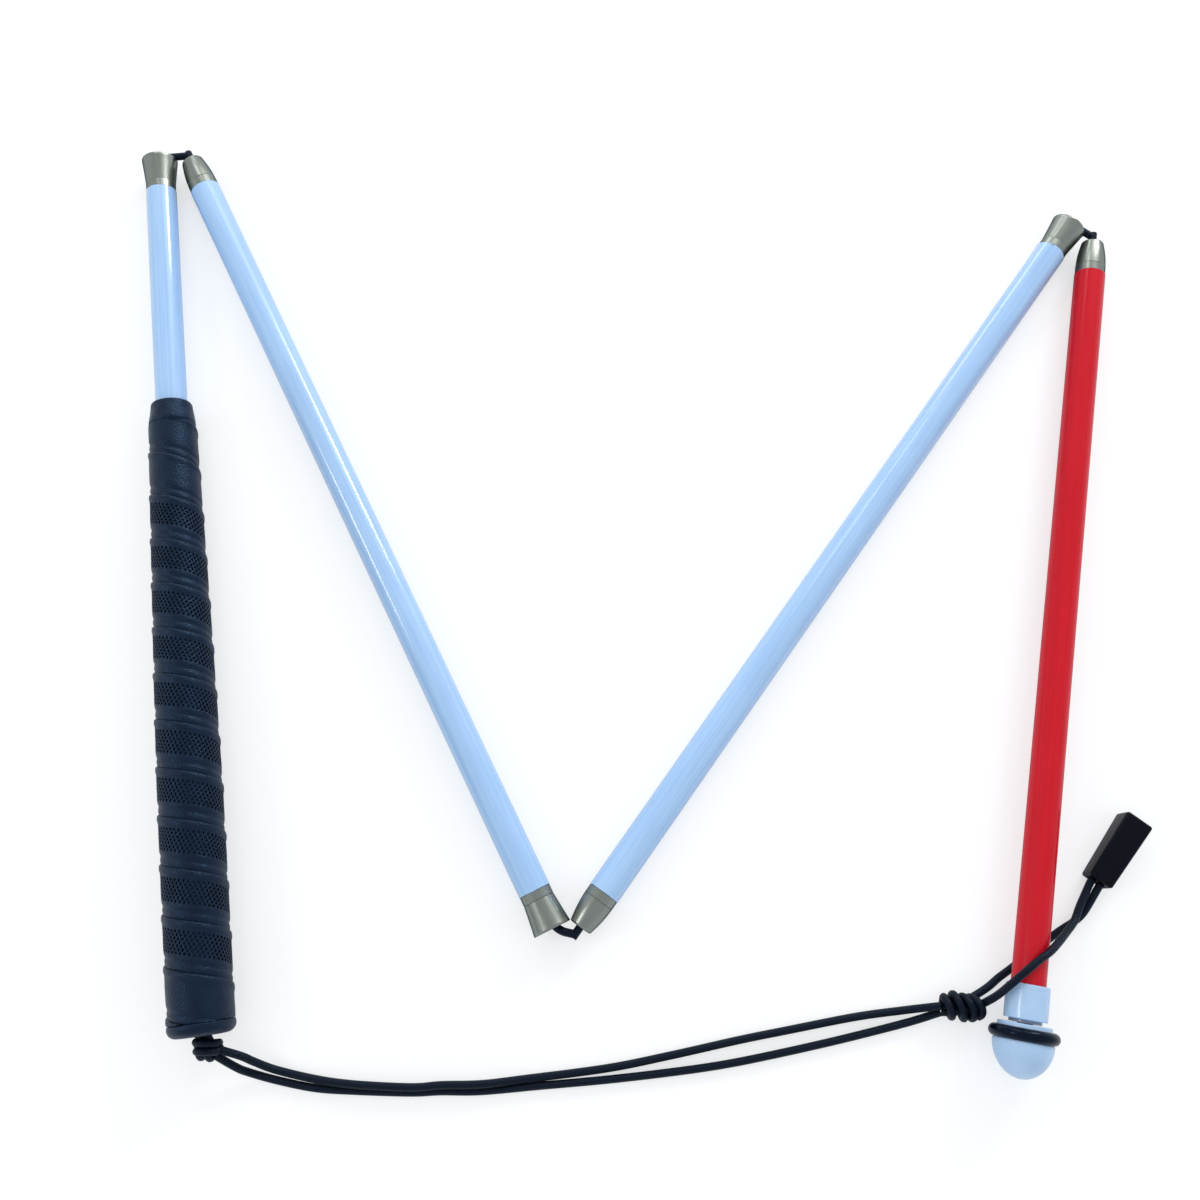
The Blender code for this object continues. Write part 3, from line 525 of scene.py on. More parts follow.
def tubeMesh(path, radius, sides):
    path = np.array(path, float)
    tangents = np.gradient(path, axis=0)
    tangents /= np.linalg.norm(tangents, axis=1)[:, None]
    normal = np.cross(tangents[0], (0.0, 0.0, 1.0))
    normal /= np.linalg.norm(normal)
    lengths = walkedAlong(path)
    angles = tau * np.arange(sides) / sides
    verts = []
    for at, tangent in zip(path, tangents):
        normal = normal - tangent * (normal @ tangent)
        normal /= np.linalg.norm(normal)
        side = np.cross(tangent, normal)
        verts += [at + radius * (cos(a) * normal + sin(a) * side) for a in angles]
    faces, uvs = [], []
    for n in range(len(path) - 1):
        for i in range(sides):
            j = (i + 1) % sides
            faces.append((n * sides + i, n * sides + j, (n + 1) * sides + j, (n + 1) * sides + i))
            u0, u1 = i / sides, (i + 1) / sides
            uvs += [(u0, lengths[n]), (u1, lengths[n]), (u1, lengths[n + 1]), (u0, lengths[n + 1])]
    base = (len(path) - 1) * sides
    faces.append(tuple(reversed(range(sides))))
    uvs += [(i / sides, lengths[0]) for i in reversed(range(sides))]
    faces.append(tuple(range(base, base + sides)))
    uvs += [(i / sides, lengths[-1]) for i in range(sides)]
    return verts, faces, uvs


cordSides = 16


def cordPiece(name, paths, radius):
    verts, faces, uvs = [], [], []
    for path in paths:
        v, f, u = tubeMesh(path, radius, cordSides)
        base = len(verts)
        verts += v
        faces += [tuple(base + i for i in face) for face in f]
        uvs += u
    return meshPiece(name, verts, faces, 60.0, uvs)


# lanyard: the routes of the CAD's cords, in tenths of a millimetre, with knots tied in the doubled cord

lanyard = Sizes(
    radius=0.0015, gap=0.0003, lead=0.0015, floor=0.00165, spread=0.00175, step=0.0012, butt=0.366, gripDrop=0.0036,
    gripWidth=0.0086, loopAt=(0.1258, -0.1672, 0.0049), loopHeading=6.0, toggleAt=(0.1809, -0.1217, 0.0049),
    toggleHeading=53.5,
    upper=((-1409, -1834, 96), (-1370, -1856, 66), (-1295, -1889, 30), (-1150, -1922, 28), (-1006, -1939, 43),
           (-794, -1950, 43), (-682, -1943, 43), (-535, -1940, 43), (-378, -1925, 26), (-71, -1889, 15),
           (175, -1843, 15), (424, -1791, 15), (611, -1756, 15), (863, -1710, 15), (1049, -1686, 22)),
    lower=((-1436, -1873, 72), (-1398, -1894, 42), (-1294, -1926, 19), (-1151, -1954, 17), (-1011, -1964, 15),
           (-798, -1971, 15), (-685, -1967, 15), (-538, -1967, 15), (-318, -1949, 15), (-72, -1929, 15),
           (174, -1903, 15), (361, -1878, 15), (547, -1844, 15), (797, -1792, 15), (1047, -1733, 20)),
    front=((1369, -1629, 125), (1401, -1588, 188), (1443, -1548, 216), (1504, -1502, 213), (1560, -1468, 194),
           (1610, -1434, 154), (1655, -1402, 110), (1700, -1362, 78), (1732, -1308, 62)),
    back=((1366, -1605, 28), (1414, -1571, 17), (1454, -1544, 17), (1543, -1483, 17), (1636, -1417, 17),
          (1676, -1391, 17), (1719, -1365, 20), (1757, -1330, 30)))

# each knot in millimetres (across, up, along): the routes of its two cords, and the coils round them
knots = {
    "grip": Sizes(
        cords={"upper": ((5.6, 3.6, 1.55), (3.0, 2.7, 2.3), (0.6, 1.4, 3.0), (-1.0, 0.6, 4.9)),
               "lower": ((5.6, 3.6, -1.55), (2.6, 2.4, -0.7), (-1.0, 0.6, -0.2), (-2.9, -0.5, 3.0))},
        coils=(((2.5, 1.9, -2.7), (1.3, 1.7, 5.4), (-0.6, 1.3, -2.8), (-1.5, 1.0, 4.9)),
               ((0.9, 0.0, -1.9), (-2.9, 0.0, -1.6), (0.6, 0.0, 0.2), (-3.7, 0.0, 1.6), (0.3, 0.0, 2.9))),
        lifts=(3.0, 2.5), bulges=((0.0, 0.0), (0.0, 0.0))),
    "loop": Sizes(
        cords={"upper": ((1.24, 1.24, -7.6), (1.5, 0.4, -3.5), (1.4, -0.5, 0.0), (2.5, -0.9, 4.1)),
               "lower": ((-1.24, -1.24, -7.6), (-1.5, -0.4, -3.5), (-1.5, 0.4, 0.5), (-0.8, 0.5, 4.2),
                         (0.0, 0.7, 7.2))},
        coils=(((4.1, 0.0, -6.2), (-3.1, 0.0, -4.4), (4.8, 0.0, -2.5), (-4.2, 0.0, 0.0), (3.6, 0.0, 0.8),
                (-4.5, 0.0, 3.1), (3.0, 0.0, 3.5), (-4.0, 0.0, 5.6)),),
        lifts=(3.3,), bulges=((0.0, 0.2, 1.2, 1.9),)),
}
knotStep, coilSteps = 0.0007, 8


def onKnot(place, spot): return place @ (Vector(spot) * mm)


def tucked(edge, lift):  # a coil's end, hidden under the knot
    return edge[0] * 0.35, edge[1] - lift * 0.75, edge[2]


def coilRoute(edges, lift, bulges):  # half turns from edge to edge, over the cords and back beneath them
    route = [tucked(edges[0], lift)]
    for n, (one, two) in enumerate(zip(edges, edges[1:])):
        over = n % 2 == 0
        for i in range(coilSteps):
            a = pi * i / coilSteps
            share, reach = (1.0 - cos(a)) / 2.0, sin(a)
            x, y, z = (p + (q - p) * share for p, q in zip(one, two))
            route.append((x, y + lift * reach * (1.0 if over else -1.0), z + (bulges[n // 2] * reach if over else 0.0)))
    return route + [edges[-1], tucked(edges[-1], lift)]


def knotPiece(name, tie, place, radius):
    routes = [list(route) for route in tie.cords.values()]
    routes += [coilRoute(*facts) for facts in zip(tie.coils, tie.lifts, tie.bulges)]
    paths = [smoothRoute([onKnot(place, p) for p in route], knotStep) for route in routes]
    return cordPiece(name, paths, radius)


def knotPort(tie, key, place, sense, gap):  # where a cord leaves the knot, and the gap it keeps there
    route = tie.cords[key]
    here, before = (onKnot(place, spot) for spot in (route[:-3:-1] if sense > 0 else route[:2]))
    return here + (here - before).normalized() * gap


def toggleHole(v, place, across):
    return [place @ Vector((across, 0.0, -reach)) for reach in (v.gap + v.lead, v.gap)]


def strandPath(v, start, points, finish):
    path = smoothRoute([start, *([c / 10000 for c in point] for point in points), *finish], v.step)
    path[:, 2] = np.maximum(path[:, 2], v.floor)
    return path


def makeLanyard(v, tie):
    handle = places["handle"]
    butt = handle @ Vector((0.0, -v.gripDrop, v.butt + v.gap + v.gripWidth / 2))
    grip = frameAlong(butt, way(layout.heading + 90.0))
    loop = frameAlong(Vector(v.loopAt), way(v.loopHeading))
    toggle = frameAlong(Vector(v.toggleAt), way(v.toggleHeading))
    gap, spread = v.gap, v.spread
    ends = {}
    for key, left in (("upper", "back"), ("lower", "front")):
        ends[key] = (knotPort(tie["grip"], key, grip, 1, gap), [knotPort(tie["loop"], key, loop, -1, gap)])
        ends[left] = (knotPort(tie["loop"], key, loop, 1, gap),
                      toggleHole(v, toggle, spread if left == "front" else -spread))
    made, paths = {}, {}
    for key, part, body in (("upper", "strand", "handle"), ("lower", "strand", "handle"),
                            ("front", "loop", "section_4"), ("back", "loop", "section_4")):
        paths[key] = strandPath(v, ends[key][0], v[key], ends[key][1])
        piece = cordPiece(part + key.title(), [paths[key]], v.radius)
        made[key] = settle(piece, "cord", body, f"lanyard_{part}_{key}")
    tied = [settle(knotPiece(f"{key}Knot", tie[key], place, v.radius), "cord", body, f"{key}_knot")
            for key, place, body in (("grip", grip, "handle"), ("loop", loop, "section_4"))]
    return made, paths, tied, toggle


cords, cordPaths, tiedKnots, togglePlace = makeLanyard(lanyard, knots)


# toggle: a square bar with soft edges, and two holes for the cord

toggleShape = Sizes(length=0.029, width=0.0112, cordEnd=0.0098, edge=0.0011, segments=5, hole=1.7, deep=4.0)


def makeToggle(v, place):
    work = bmesh.new()
    bmesh.ops.create_cube(work, size=1.0)
    for vert in work.verts:
        atCord = vert.co.z < 0.0
        width = v.cordEnd if atCord else v.width
        vert.co.x *= width
        vert.co.y = -v.cordEnd / 2 + (width if vert.co.y > 0.0 else 0.0)
        vert.co.z = 0.0 if atCord else v.length
    mesh = bpy.data.meshes.new("toggle")
    work.to_mesh(mesh)
    work.free()
    bar = shown("toggleBar", mesh)
    edges = bar.modifiers.new("edges", "BEVEL")
    edges.width, edges.segments, edges.limit_method = v.edge, v.segments, "ANGLE"
    cutters, drill = [], [(0.0, -v.deep), (v.hole, -v.deep), (v.hole, v.deep), (0.0, v.deep)]
    for sign in (-1, 1):
        cutter = turnedPiece(f"holeCutter{sign}", drill, 24)
        cutter.data.transform(Matrix.Translation((sign * lanyard.spread, 0.0, 0.0)))
        bpy.context.scene.collection.objects.link(cutter)
        cut = bar.modifiers.new("hole", "BOOLEAN")
        cut.operation, cut.solver, cut.object = "DIFFERENCE", "EXACT", cutter
        cutters.append(cutter)
    made = baked(bar, "toggle.bar", 40.0)
    for cutter in cutters:
        bpy.data.objects.remove(cutter)
    return settle(made, "toggle", "section_4", "toggle", place)


toggle = makeToggle(toggleShape, togglePlace)


def declareCords(cords, paths):
    facts = {"upper": ("knot", tiedKnots), "lower": ("knot", []), "front": ("fitting", [toggle]),
             "back": ("fitting", [toggle])}
    for key, (end, pieces) in facts.items():
        length = float(np.linalg.norm(np.diff(paths[key], axis=0), axis=1).sum())
        cords[key]
        tuple(paths[key][0])
        [tuple(p) for p in paths[key]]
        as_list(pieces)
        print("  cord", key, round(length * 1000), "mm")


declareCords(cords, cordPaths)
print("lanyard laid")


# metal ends, in millimetres: a flared socket with a square rim, and a tapered cone with a rounded nose

metalEnd = Sizes(
    exposed=15.5, land=3.5, radius=6.15, spigot=24.0, spigotRadius=4.65, bore=2.4, boreStep=1.0, nose=4.7,
    noseRound=1.0, belly=0.3, mouthBore=6.3, wall=1.2, rim=0.28, swell=0.9, crease=0.14, clearance=0.15, steps=14,
    sides=112)
sectionLength = 363.1


def landOutline(v, at):
    foot, step, deep = v.exposed, v.exposed - v.land, v.crease
    radius, end = v.radius, v.exposed + v.spigot
    return [(radius, at(step - deep)), (radius - deep, at(step)), (radius, at(step + deep)), (radius, at(foot - 0.1)),
            (radius - 0.1, at(foot)), (v.spigotRadius, at(foot)), (v.spigotRadius, at(end)), (v.bore, at(end))]


def bellied(v, r0, r1, low, high, chosen):  # a taper with a slight belly, as radius and depth
    steps = v.steps
    return [(r0 + (r1 - r0) * i / steps + v.belly * sin(pi * i / steps), low + (high - low) * i / steps)
            for i in chosen]


def socketOutline(v, sign, mouth):
    def at(depth): return mouth + sign * depth
    taper, rim, steps = v.exposed - v.land, v.rim, v.steps
    foot, outer = v.nose + v.clearance, v.mouthBore + v.wall
    inside = [(r, at(depth)) for r, depth in bellied(v, v.mouthBore, foot, rim, taper, range(steps, -1, -1))]
    lip = [(v.mouthBore + rim * 0.3, at(rim * 0.3)), (v.mouthBore + rim, at(0.0)), (outer - rim, at(0.0)),
           (outer - rim * 0.3, at(rim * 0.3)), (outer, at(rim))]
    outside = [(outer + (v.radius - outer) * (i / steps) ** v.swell,
                at(rim + (taper - v.crease - rim) * i / steps)) for i in range(1, steps)]
    return [(v.bore, at(taper + v.boreStep))] + inside + lip + outside + landOutline(v, at)


def coneOutline(v):
    turn, taper = v.noseRound, v.exposed - v.land
    nose = [(v.nose - turn * (1.0 - sin(radians(a))), turn * (1.0 - cos(radians(a))))
            for a in range(0, 91, 15)]
    side = bellied(v, v.nose, v.radius, turn, taper - v.crease, range(1, v.steps))
    bore = [(v.bore, 0.25), (v.bore + 0.25, 0.0)]
    return bore + nose + side + landOutline(v, lambda depth: depth)


def makeMetalEnds(v):
    for body, kinds in (("handle", "socket"), ("section_2", "cone socket"), ("section_3", "cone socket"),
                        ("section_4", "cone")):
        for kind in kinds.split():
            sign, mouth = (1.0, 0.0) if body == "handle" else (-1.0, sectionLength)
            outline = coneOutline(v) if kind == "cone" else socketOutline(v, sign, mouth)
            addTurned(f"{kind}.{plain(body)}", outline, v.sides, "ferrule", body, f"{body}_{kind}", sharp=32.0)


makeMetalEnds(metalEnd)
print("metal ends turned")


# reflective films, in millimetres: wrapped once round each tube, with a lap along it

filmShape = Sizes(
    radius=6.35, inner=6.05, lap=0.1, wave=0.1, lift=0.3, fray=1.2, crease=1.25, step=0.6, near=0.5, soft=0.06,
    drop=0.08, seamGap=0.02, sides=128)
filmRuns = (("handle", "white", 15.56, 117.6, 118.0, 0.0), ("section_2", "white", 15.56, 347.54, 292.0, 0.0),
            ("section_3", "white", 15.56, 347.54, 205.0, 1.0), ("section_4", "red", 15.56, 316.7, 108.0, 0.0))


def makeFilms(v, runs):
    for body, finish, low, high, seam, ragged in runs:
        start = radians(seam)
        angles = [start + v.seamGap + (tau - v.seamGap) * i / v.sides for i in range(v.sides + 1)]

        def shape(angle, radius, height):
            share = ((angle - start) % tau) / tau if angle < angles[-1] - 1e-6 else 1.0
            wave = sin(3.0 * angle + low) * 0.5 + sin(7.0 * angle + high) * 0.3 + sin(17.0 * angle) * 0.2
            if radius > v.inner + 0.01:
                radius += v.lap * (share - 0.5)
            if height > high - v.fray:
                torn = max(0.0, sin(5.0 * angle + 1.0)) ** 5 * ragged
                radius += v.lift * torn * (height - high + v.fray) / v.fray
                height += v.wave * wave * (0.0 if ragged else 1.0) - 0.5 * torn
            elif height < low + v.near:
                height += v.wave * max(0.0, wave)
            return radius, height

        outer, inner = v.radius, v.inner
        long = [(outer, low + v.soft), (outer, low + v.step)]
        long += [(outer, low + (high - low) * i / 6) for i in range(1, 6)]
        long += [(outer, high - v.crease), (outer, high - v.step), (outer, high - v.soft), (outer - v.drop, high),
                 (inner, high), (inner, high - v.crease), (inner, low + v.step), (inner, low), (outer - v.drop, low)]
        addTurned(f"film.{plain(body)}", long, angles, finish, body, f"{body}_sheath", shape, 30.0)


makeFilms(filmShape, filmRuns)
print("films wrapped")


# grip: collar and butt cap, in millimetres

gripShape = Sizes(
    start=116.5, collarLength=9.8, collarRadius=8.3, collarFoot=9.3, collarBore=7.4, edge=1.2, fullRadius=12.1,
    length=366.0, capLength=22.4, capInner=10.7, capUnder=11.05, capFloor=4.2, hole=3.4, foot=12.3, footEdge=3.4,
    steps=8, collarSides=112, capSides=128)


def makeCollar(v):
    low, high = v.start, v.start + v.collarLength
    corners = [(v.collarBore, low, 0.0), (v.collarRadius - 0.1, low, v.edge),
               (v.collarRadius + 0.25, low + 3.5, 2.0), (v.collarFoot + 0.05, high - 1.4, 0.8),
               (v.collarFoot - 0.25, high, 0.75), (v.collarBore, high, 0.0)]

    def shape(angle, radius, height):
        wave = 0.06 * sin(3.0 * angle + height * 0.7) + 0.03 * sin(8.0 * angle - height)
        return radius + wave * (radius > v.collarBore + 0.3), height

    outline = stretched(softOutline(corners, v.steps), 1.2)
    addTurned("collar", outline, v.collarSides, "grip", "handle", "grip_collar", shape)


def makeCap(v):
    start, end = v.length - v.capLength, v.length
    groove = end - v.capFloor - 0.55
    corners = [(v.capInner, start, 0.0), (v.capUnder, start, 0.0), (v.capUnder, groove - 0.2, 0.0),
               (v.fullRadius - 0.45, groove, 0.0), (v.foot - 0.12, groove + 0.25, 0.3)]
    turn = v.footEdge
    corners += [(*point, 0.0) for point in arc(v.foot - turn, end - turn, turn, turn, range(0, 91, 10))]
    corners += [(v.hole + 0.1, end, 0.5), (v.hole, end - v.capFloor, 0.0), (v.capInner, end - v.capFloor, 0.0)]

    def shape(angle, radius, height):
        return radius + 0.05 * sin(3.0 * angle + 1.0) * (radius > v.fullRadius - 0.5), height

    addTurned("buttCap", softOutline(corners, v.steps), v.capSides, "grip", "handle", "butt_cap", shape)


makeCollar(gripShape)
makeCap(gripShape)
print("collar and cap turned")


# grip wrap: one perforated strip wound in a helix, in millimetres until its last step

wrapInputs = {"Pitch": 18.4, "First Seam": 127.4, "Strip Width": 17.8, "Lean": 0.247, "Hole Spacing": 1.8,
              "Row Spacing": 1.25, "Shoulder": 2.9, "Hole Share": 0.64, "Rim Drop": 0.1, "Hole Depth": 0.62,
              "Hole Taper": 0.72, "Holes From": 155.0, "Holes To": 339.0, "Low End": 126.38, "High End": 361.15,
              "Top Radius": 9.5, "Full Radius": 12.1, "Taper Start": 126.3, "Taper Length": 153.5, "Taper Power": 1.25,
              "Unevenness": 0.22, "Edge Drop": 1.0}
wrapBend = (
    (0.0, 0.1), (0.012, 0.62), (0.04, 0.92), (0.09, 0.985), (0.135, 0.9), (0.17, 0.72), (0.25, 0.66), (0.6, 0.66),
    (0.7, 0.63), (0.76, 0.5), (0.825, 0.22), (0.85, 0.3), (0.9, 0.42), (0.945, 0.33), (0.98, 0.1), (1.0, 0.0))
wrapRows, mergeWithin, flatBend, bendHeight = 7, 0.03, 0.66, 1.05
helixPoints, helixTurns, helixLead = 2600, 13.9, 1.05


class WrapTree(Maker):
    def __init__(self, name, inputs):
        super().__init__(bpy.data.node_groups.new(name, "GeometryNodeTree"))
        for label, value in inputs.items():
            made = self.tree.interface.new_socket(label, in_out="INPUT", socket_type="NodeSocketFloat")
            made.default_value = value
        self.tree.interface.new_socket("Geometry", in_out="OUTPUT", socket_type="NodeSocketGeometry")
        self.entry = self.node("NodeGroupInput")

    def __getitem__(self, label): return self.entry.output(label)
    def here(self): return self.geo("InputPosition")
    def moved(self, geometry, position):
        return self.geo("SetPosition", {"Geometry": geometry, "Position": position})

    def corner(self): return self.parts(self.here())

    def polar(self, radius, angle, height):
        return self.vector(radius * angle.call("COSINE"), radius * angle.call("SINE"), height)

    def join(self, *several):
        made = self.geo("JoinGeometry")
        for one in several:
            self.tree.links.new(one.socket, made.socket.node.inputs[0])
        return made

    def radiusAt(self, station):
        share = self.ramp(station, self["Taper Start"], self["Taper Start"] + self["Taper Length"])
        swell = 1.0 - (1.0 - share) ** self["Taper Power"]
        return self["Top Radius"] + (self["Full Radius"] - self["Top Radius"]) * swell

    def helix(self):  # the strip's upper seam, from a turn before the collar to past the cap
        line = self.geo("MeshLine", {"Count": helixPoints})
        turn = self.geo("InputIndex") / float(helixPoints - 1) * helixTurns - helixLead
        station = self["First Seam"] + self["Pitch"] * turn
        spot = self.polar(self.radiusAt(station), turn * -tau, station)
        return self.geo("MeshToCurve", {0: self.moved(line, spot)})

    def along(self, curve, length):
        return self.geo("SampleCurve", {"Curves": curve, "Length": length}, "Position", mode="LENGTH")

    def tile(self):  # a diamond with eight corners, so that neighbours meet corner to corner
        ring = self.geo("MeshCircle", {"Vertices": 8, "Radius": 1.0}, fill_type="NGON")
        x, y, _ = self.corner()
        size = x.call("ABSOLUTE") + y.call("ABSOLUTE")
        half, tall = self["Hole Spacing"] * 0.5, self["Row Spacing"]
        return self.moved(ring, self.vector(x / size * half, y / size * tall, 0.0))

    def edgeTile(self, tile, sense):  # half a diamond, closing the rows along a plain strip
        x, y, _ = self.corner()
        behind = (y * sense) < -0.01
        return self.moved(tile, self.vector(x * (behind + 1.0), (y * sense).most(0.0) * sense, 0.0))

    def holeTile(self, tile):  # its face is drawn in and lowered twice: to the rim, then to the floor
        chosen = True
        for share, drop, name in (("Hole Share", "Rim Drop", "rimTop"), ("Hole Taper", "Hole Depth", "floorTop")):
            tile = self.geo("ExtrudeMesh", {"Mesh": tile, "Selection": chosen, "Offset Scale": 0.0}, mode="FACES")
            tile = self.geo("StoreNamedAttribute", {"Geometry": tile, "Name": name, "Value": tile.output("Top")},
                            data_type="BOOLEAN", domain="FACE")
            chosen = self.geo("InputNamedAttribute", {"Name": name}, data_type="BOOLEAN")
            tile = self.geo("ScaleElements", {"Geometry": tile, "Selection": chosen, "Scale": self[share]},
                            domain="FACE")
            offset = self.vector(0.0, 0.0, self[drop] * -1.0)
            tile = self.geo("SetPosition", {"Geometry": tile, "Selection": chosen, "Offset": offset})
        return tile

    def lattice(self, columns, rows, spacing, tall, bottom, power=None):
        grid = self.geo("MeshGrid", {"Size X": 1.0, "Size Y": 1.0, "Vertices X": columns, "Vertices Y": rows})
        x, y, _ = self.corner()
        share = y + 0.5
        if power:
            share = share ** power
        return self.moved(grid, self.vector((x + 0.5) * spacing * (columns - 1.0), bottom + share * tall, 0.0))

    def spread(self, points, instance, chosen):
        placed = self.geo("InstanceOnPoints", {"Points": points, "Instance": instance, "Selection": chosen})
        return self.geo("RealizeInstances", {0: placed})

    def build(self):
        curve = self.helix()
        length = self.geo("CurveLength", {0: curve})
        spacing, tall, shoulder = self["Hole Spacing"], self["Row Spacing"], self["Shoulder"]
        columns = (length / spacing).call("FLOOR")
        tile = self.tile()
        rows = self.lattice(columns, wrapRows, spacing, tall * (wrapRows - 1.0), shoulder + tall)
        row = self.geo("InputIndex") % float(wrapRows)
        x, y, _ = self.corner()
        rows = self.moved(rows, self.vector(x + (row % 2.0) * spacing * 0.5 + spacing * 0.5, y, 0.0))
        station = self.parts(self.along(curve, self.corner()[0]))[2]
        holed = (station > self["Holes From"]) * (station < self["Holes To"])
        edge = self.lattice(columns, 2, spacing, tall * (wrapRows + 1.0), shoulder)
        edgeRow = self.geo("InputIndex") % 2.0
        flat = [self.spread(rows, self.holeTile(tile), holed), self.spread(rows, tile, 1.0 - holed),
                self.spread(edge, self.edgeTile(tile, 1.0), 1.0 - edgeRow),
                self.spread(edge, self.edgeTile(tile, -1.0), edgeRow)]
        fine = columns * 2.0
        lower = shoulder + tall * (wrapRows + 1.0)
        flat.append(self.lattice(fine, 7, spacing * 0.5, shoulder, 0.0, 1.7))
        flat.append(self.lattice(fine, 11, spacing * 0.5, self["Strip Width"] * 1.012 - lower, lower))
        sheet = self.geo("MergeByDistance", {"Geometry": self.join(*flat), "Distance": mergeWithin})
        self.wound(sheet, curve)
        return self.tree

    def wound(self, sheet, curve):
        s, v, lift = self.corner()
        spot = self.along(curve, s)
        px, py, pz = self.parts(spot)
        width, pitch, lean = self["Strip Width"], self["Pitch"], self["Lean"]
        low, high = self["Low End"], self["High End"]
        radius = self.radiusAt(pz)
        turn = py.arcTangent(px) + v * lean / radius
        sway = self.noise(self.vector(s * 0.03, 0.0, 3.0), 1.0, 1.0) - 0.5
        rise = pitch / width * (1.0 - width * lean / (radius * tau))
        station = pz + v * rise + sway * self["Unevenness"]
        beyond = ((station < low) + (station > high)).most(0.0)
        beyond = self.geo("FieldOnDomain", {0: beyond}, domain="POINT", data_type="FLOAT")
        sheet = self.geo("DeleteGeometry", {"Geometry": sheet, "Selection": beyond > 0.99}, domain="FACE")
        clamped = station.most(low).least(high)
        bend = self.shade("FloatCurve", {"Value": v / (width * 1.02)}, bends=wrapBend)
        rough = self.noise(self.vector(s * 0.09, v * 0.22, 0.0), 1.0, 2.0) - 0.5
        outward = self.radiusAt(clamped) + (bend - flatBend) * bendHeight + lift + rough * self["Unevenness"]
        sheet = self.moved(sheet, self.polar(outward, turn, clamped))
        openEdge = self.geo("InputMeshEdgeNeighbors") < 1.5
        x, y, _ = self.corner()
        far = (x * x + y * y) ** 0.5
        inward = self.vector(x / far * -1.0, y / far * -1.0, 0.0)
        sheet = self.geo("ExtrudeMesh", {"Mesh": sheet, "Selection": openEdge, "Offset": inward,
                                         "Offset Scale": self["Edge Drop"]}, mode="EDGES")
        sheet = self.geo("FlipFaces", {0: sheet})
        sheet = self.moved(sheet, self.scaled(self.here(), (mm,) * 3))
        self.node("NodeGroupOutput", {0: sheet})


def makeWrap(inputs):
    carrier = shown("wrapCarrier", bpy.data.meshes.new("wrapCarrier"))
    carrier.modifiers.new("winding", "NODES").node_group = WrapTree("gripWrap", inputs).build()
    wrap = baked(carrier, "gripWrap", 55.0)
    mesh = wrap.data
    for name in ("rimTop", "floorTop"):
        mesh.attributes.remove(mesh.attributes[name])
    print("  wrap faces:", len(mesh.polygons))
    settle(wrap, "grip", "handle", "grip_wrap", places["handle"])


makeWrap(wrapInputs)
print("grip wound")


# rolling tip, in millimetres along the last section

tipShape = Sizes(
    sleeveTop=312.2, sleeveRadius=7.9, sleeveBore=6.6, sleeveFloor=321.5, sleeveEnd=324.8, neck=6.0, neckEnd=326.0,
    hole=2.3, holeNose=2.9, noseEnd=327.4, flange=326.3, flangeRadius=9.8, bore=6.2, bearingEnd=332.0, pocket=4.0,
    pocketEnd=337.7, ring=330.0, ringRadius=10.45, ringSection=2.3, channel=2.36, dome=332.3, domeRadius=11.1,
    domeHeight=13.4, lip=0.35, steps=6, sides=128)


def makeTip(v):
    top, end = v.sleeveTop, v.sleeveEnd
    corners = [(v.sleeveBore, top, 0.15), (v.sleeveRadius, top, 0.75), (v.sleeveRadius - 0.02, top + 1.7, 0.3),
               (v.sleeveRadius - 0.13, top + 2.0, 0.1), (v.sleeveRadius, top + 2.3, 0.3),
               (v.sleeveRadius, end, 0.45), (v.neck, end, 0.1), (v.neck, v.neckEnd, 0.1),
               (v.holeNose, v.neckEnd, 0.0), (v.holeNose, v.noseEnd, 0.0), (v.hole, v.noseEnd, 0.0),
               (v.hole, v.sleeveFloor, 0.0), (v.sleeveBore, v.sleeveFloor, 0.0)]

    def shape(angle, radius, height):
        wave = 0.16 * sin(5.0 * angle) + 0.1 * sin(11.0 * angle + 1.0)
        return radius, height + wave * (top + 1.2 < height < top + 2.6)

    addTurned("tipSleeve", softOutline(corners, v.steps), v.sides, "tip", "section_4", "tip_sleeve", shape)

    low = degrees(acos((v.flangeRadius - v.ringRadius) / v.channel))
    high = degrees(acos((v.domeRadius - v.lip - v.ringRadius) / v.channel))
    channel = arc(v.ringRadius, v.ring, v.channel, v.channel,
                  [-low + (-360.0 + high + low) * i / 24 for i in range(25)])
    dome = arc(0.0, v.dome, v.domeRadius, v.domeHeight, (2.2, 4, 7, 11, *range(16, 83, 6), 86, 88.5))
    dome.append((0.0, v.dome + v.domeHeight))
    flange = [(v.flangeRadius - 0.25, v.flange), (v.flangeRadius - 0.07, v.flange + 0.08),
              (v.flangeRadius, v.flange + 0.27), (v.flangeRadius, v.flange + 1.1)]
    inner = [(0.0, v.pocketEnd), (v.pocket, v.pocketEnd), (v.pocket, v.bearingEnd),
             (v.bore, v.bearingEnd), (v.bore, v.flange)]
    addTurned("tipHead", inner + flange + channel + dome, v.sides, "tip", "tip", "tip_head")
    rim = arc(v.ringRadius, v.ring, v.ringSection, v.ringSection, range(0, 360, 12))
    addTurned("tipRing", rim, v.sides, "ring", "tip", "tip_ring", sharp=60.0)


makeTip(tipShape)
print("tip turned")


# elastic: rods inside the sections, a bent length at each joint, and a straight one in each cone

elasticShape = Sizes(
    radius=1.6, soft=3.0, inside=6.2, stubLength=29.0, mouthOut=1.6, mouthSide=1.9, noseOut=3.2, noseSoft=0.5,
    stubShare=0.995, overlap=0.4, coreFrom=27.7, anchor=299.7, step=0.0006)


def softLine(points, softness):
    line = [points[0]]
    for before, corner, after, soft in zip(points, points[1:], points[2:], softness):
        line += rounded(before, corner, after, soft, 0.46, 12)
    return line + [points[-1]]


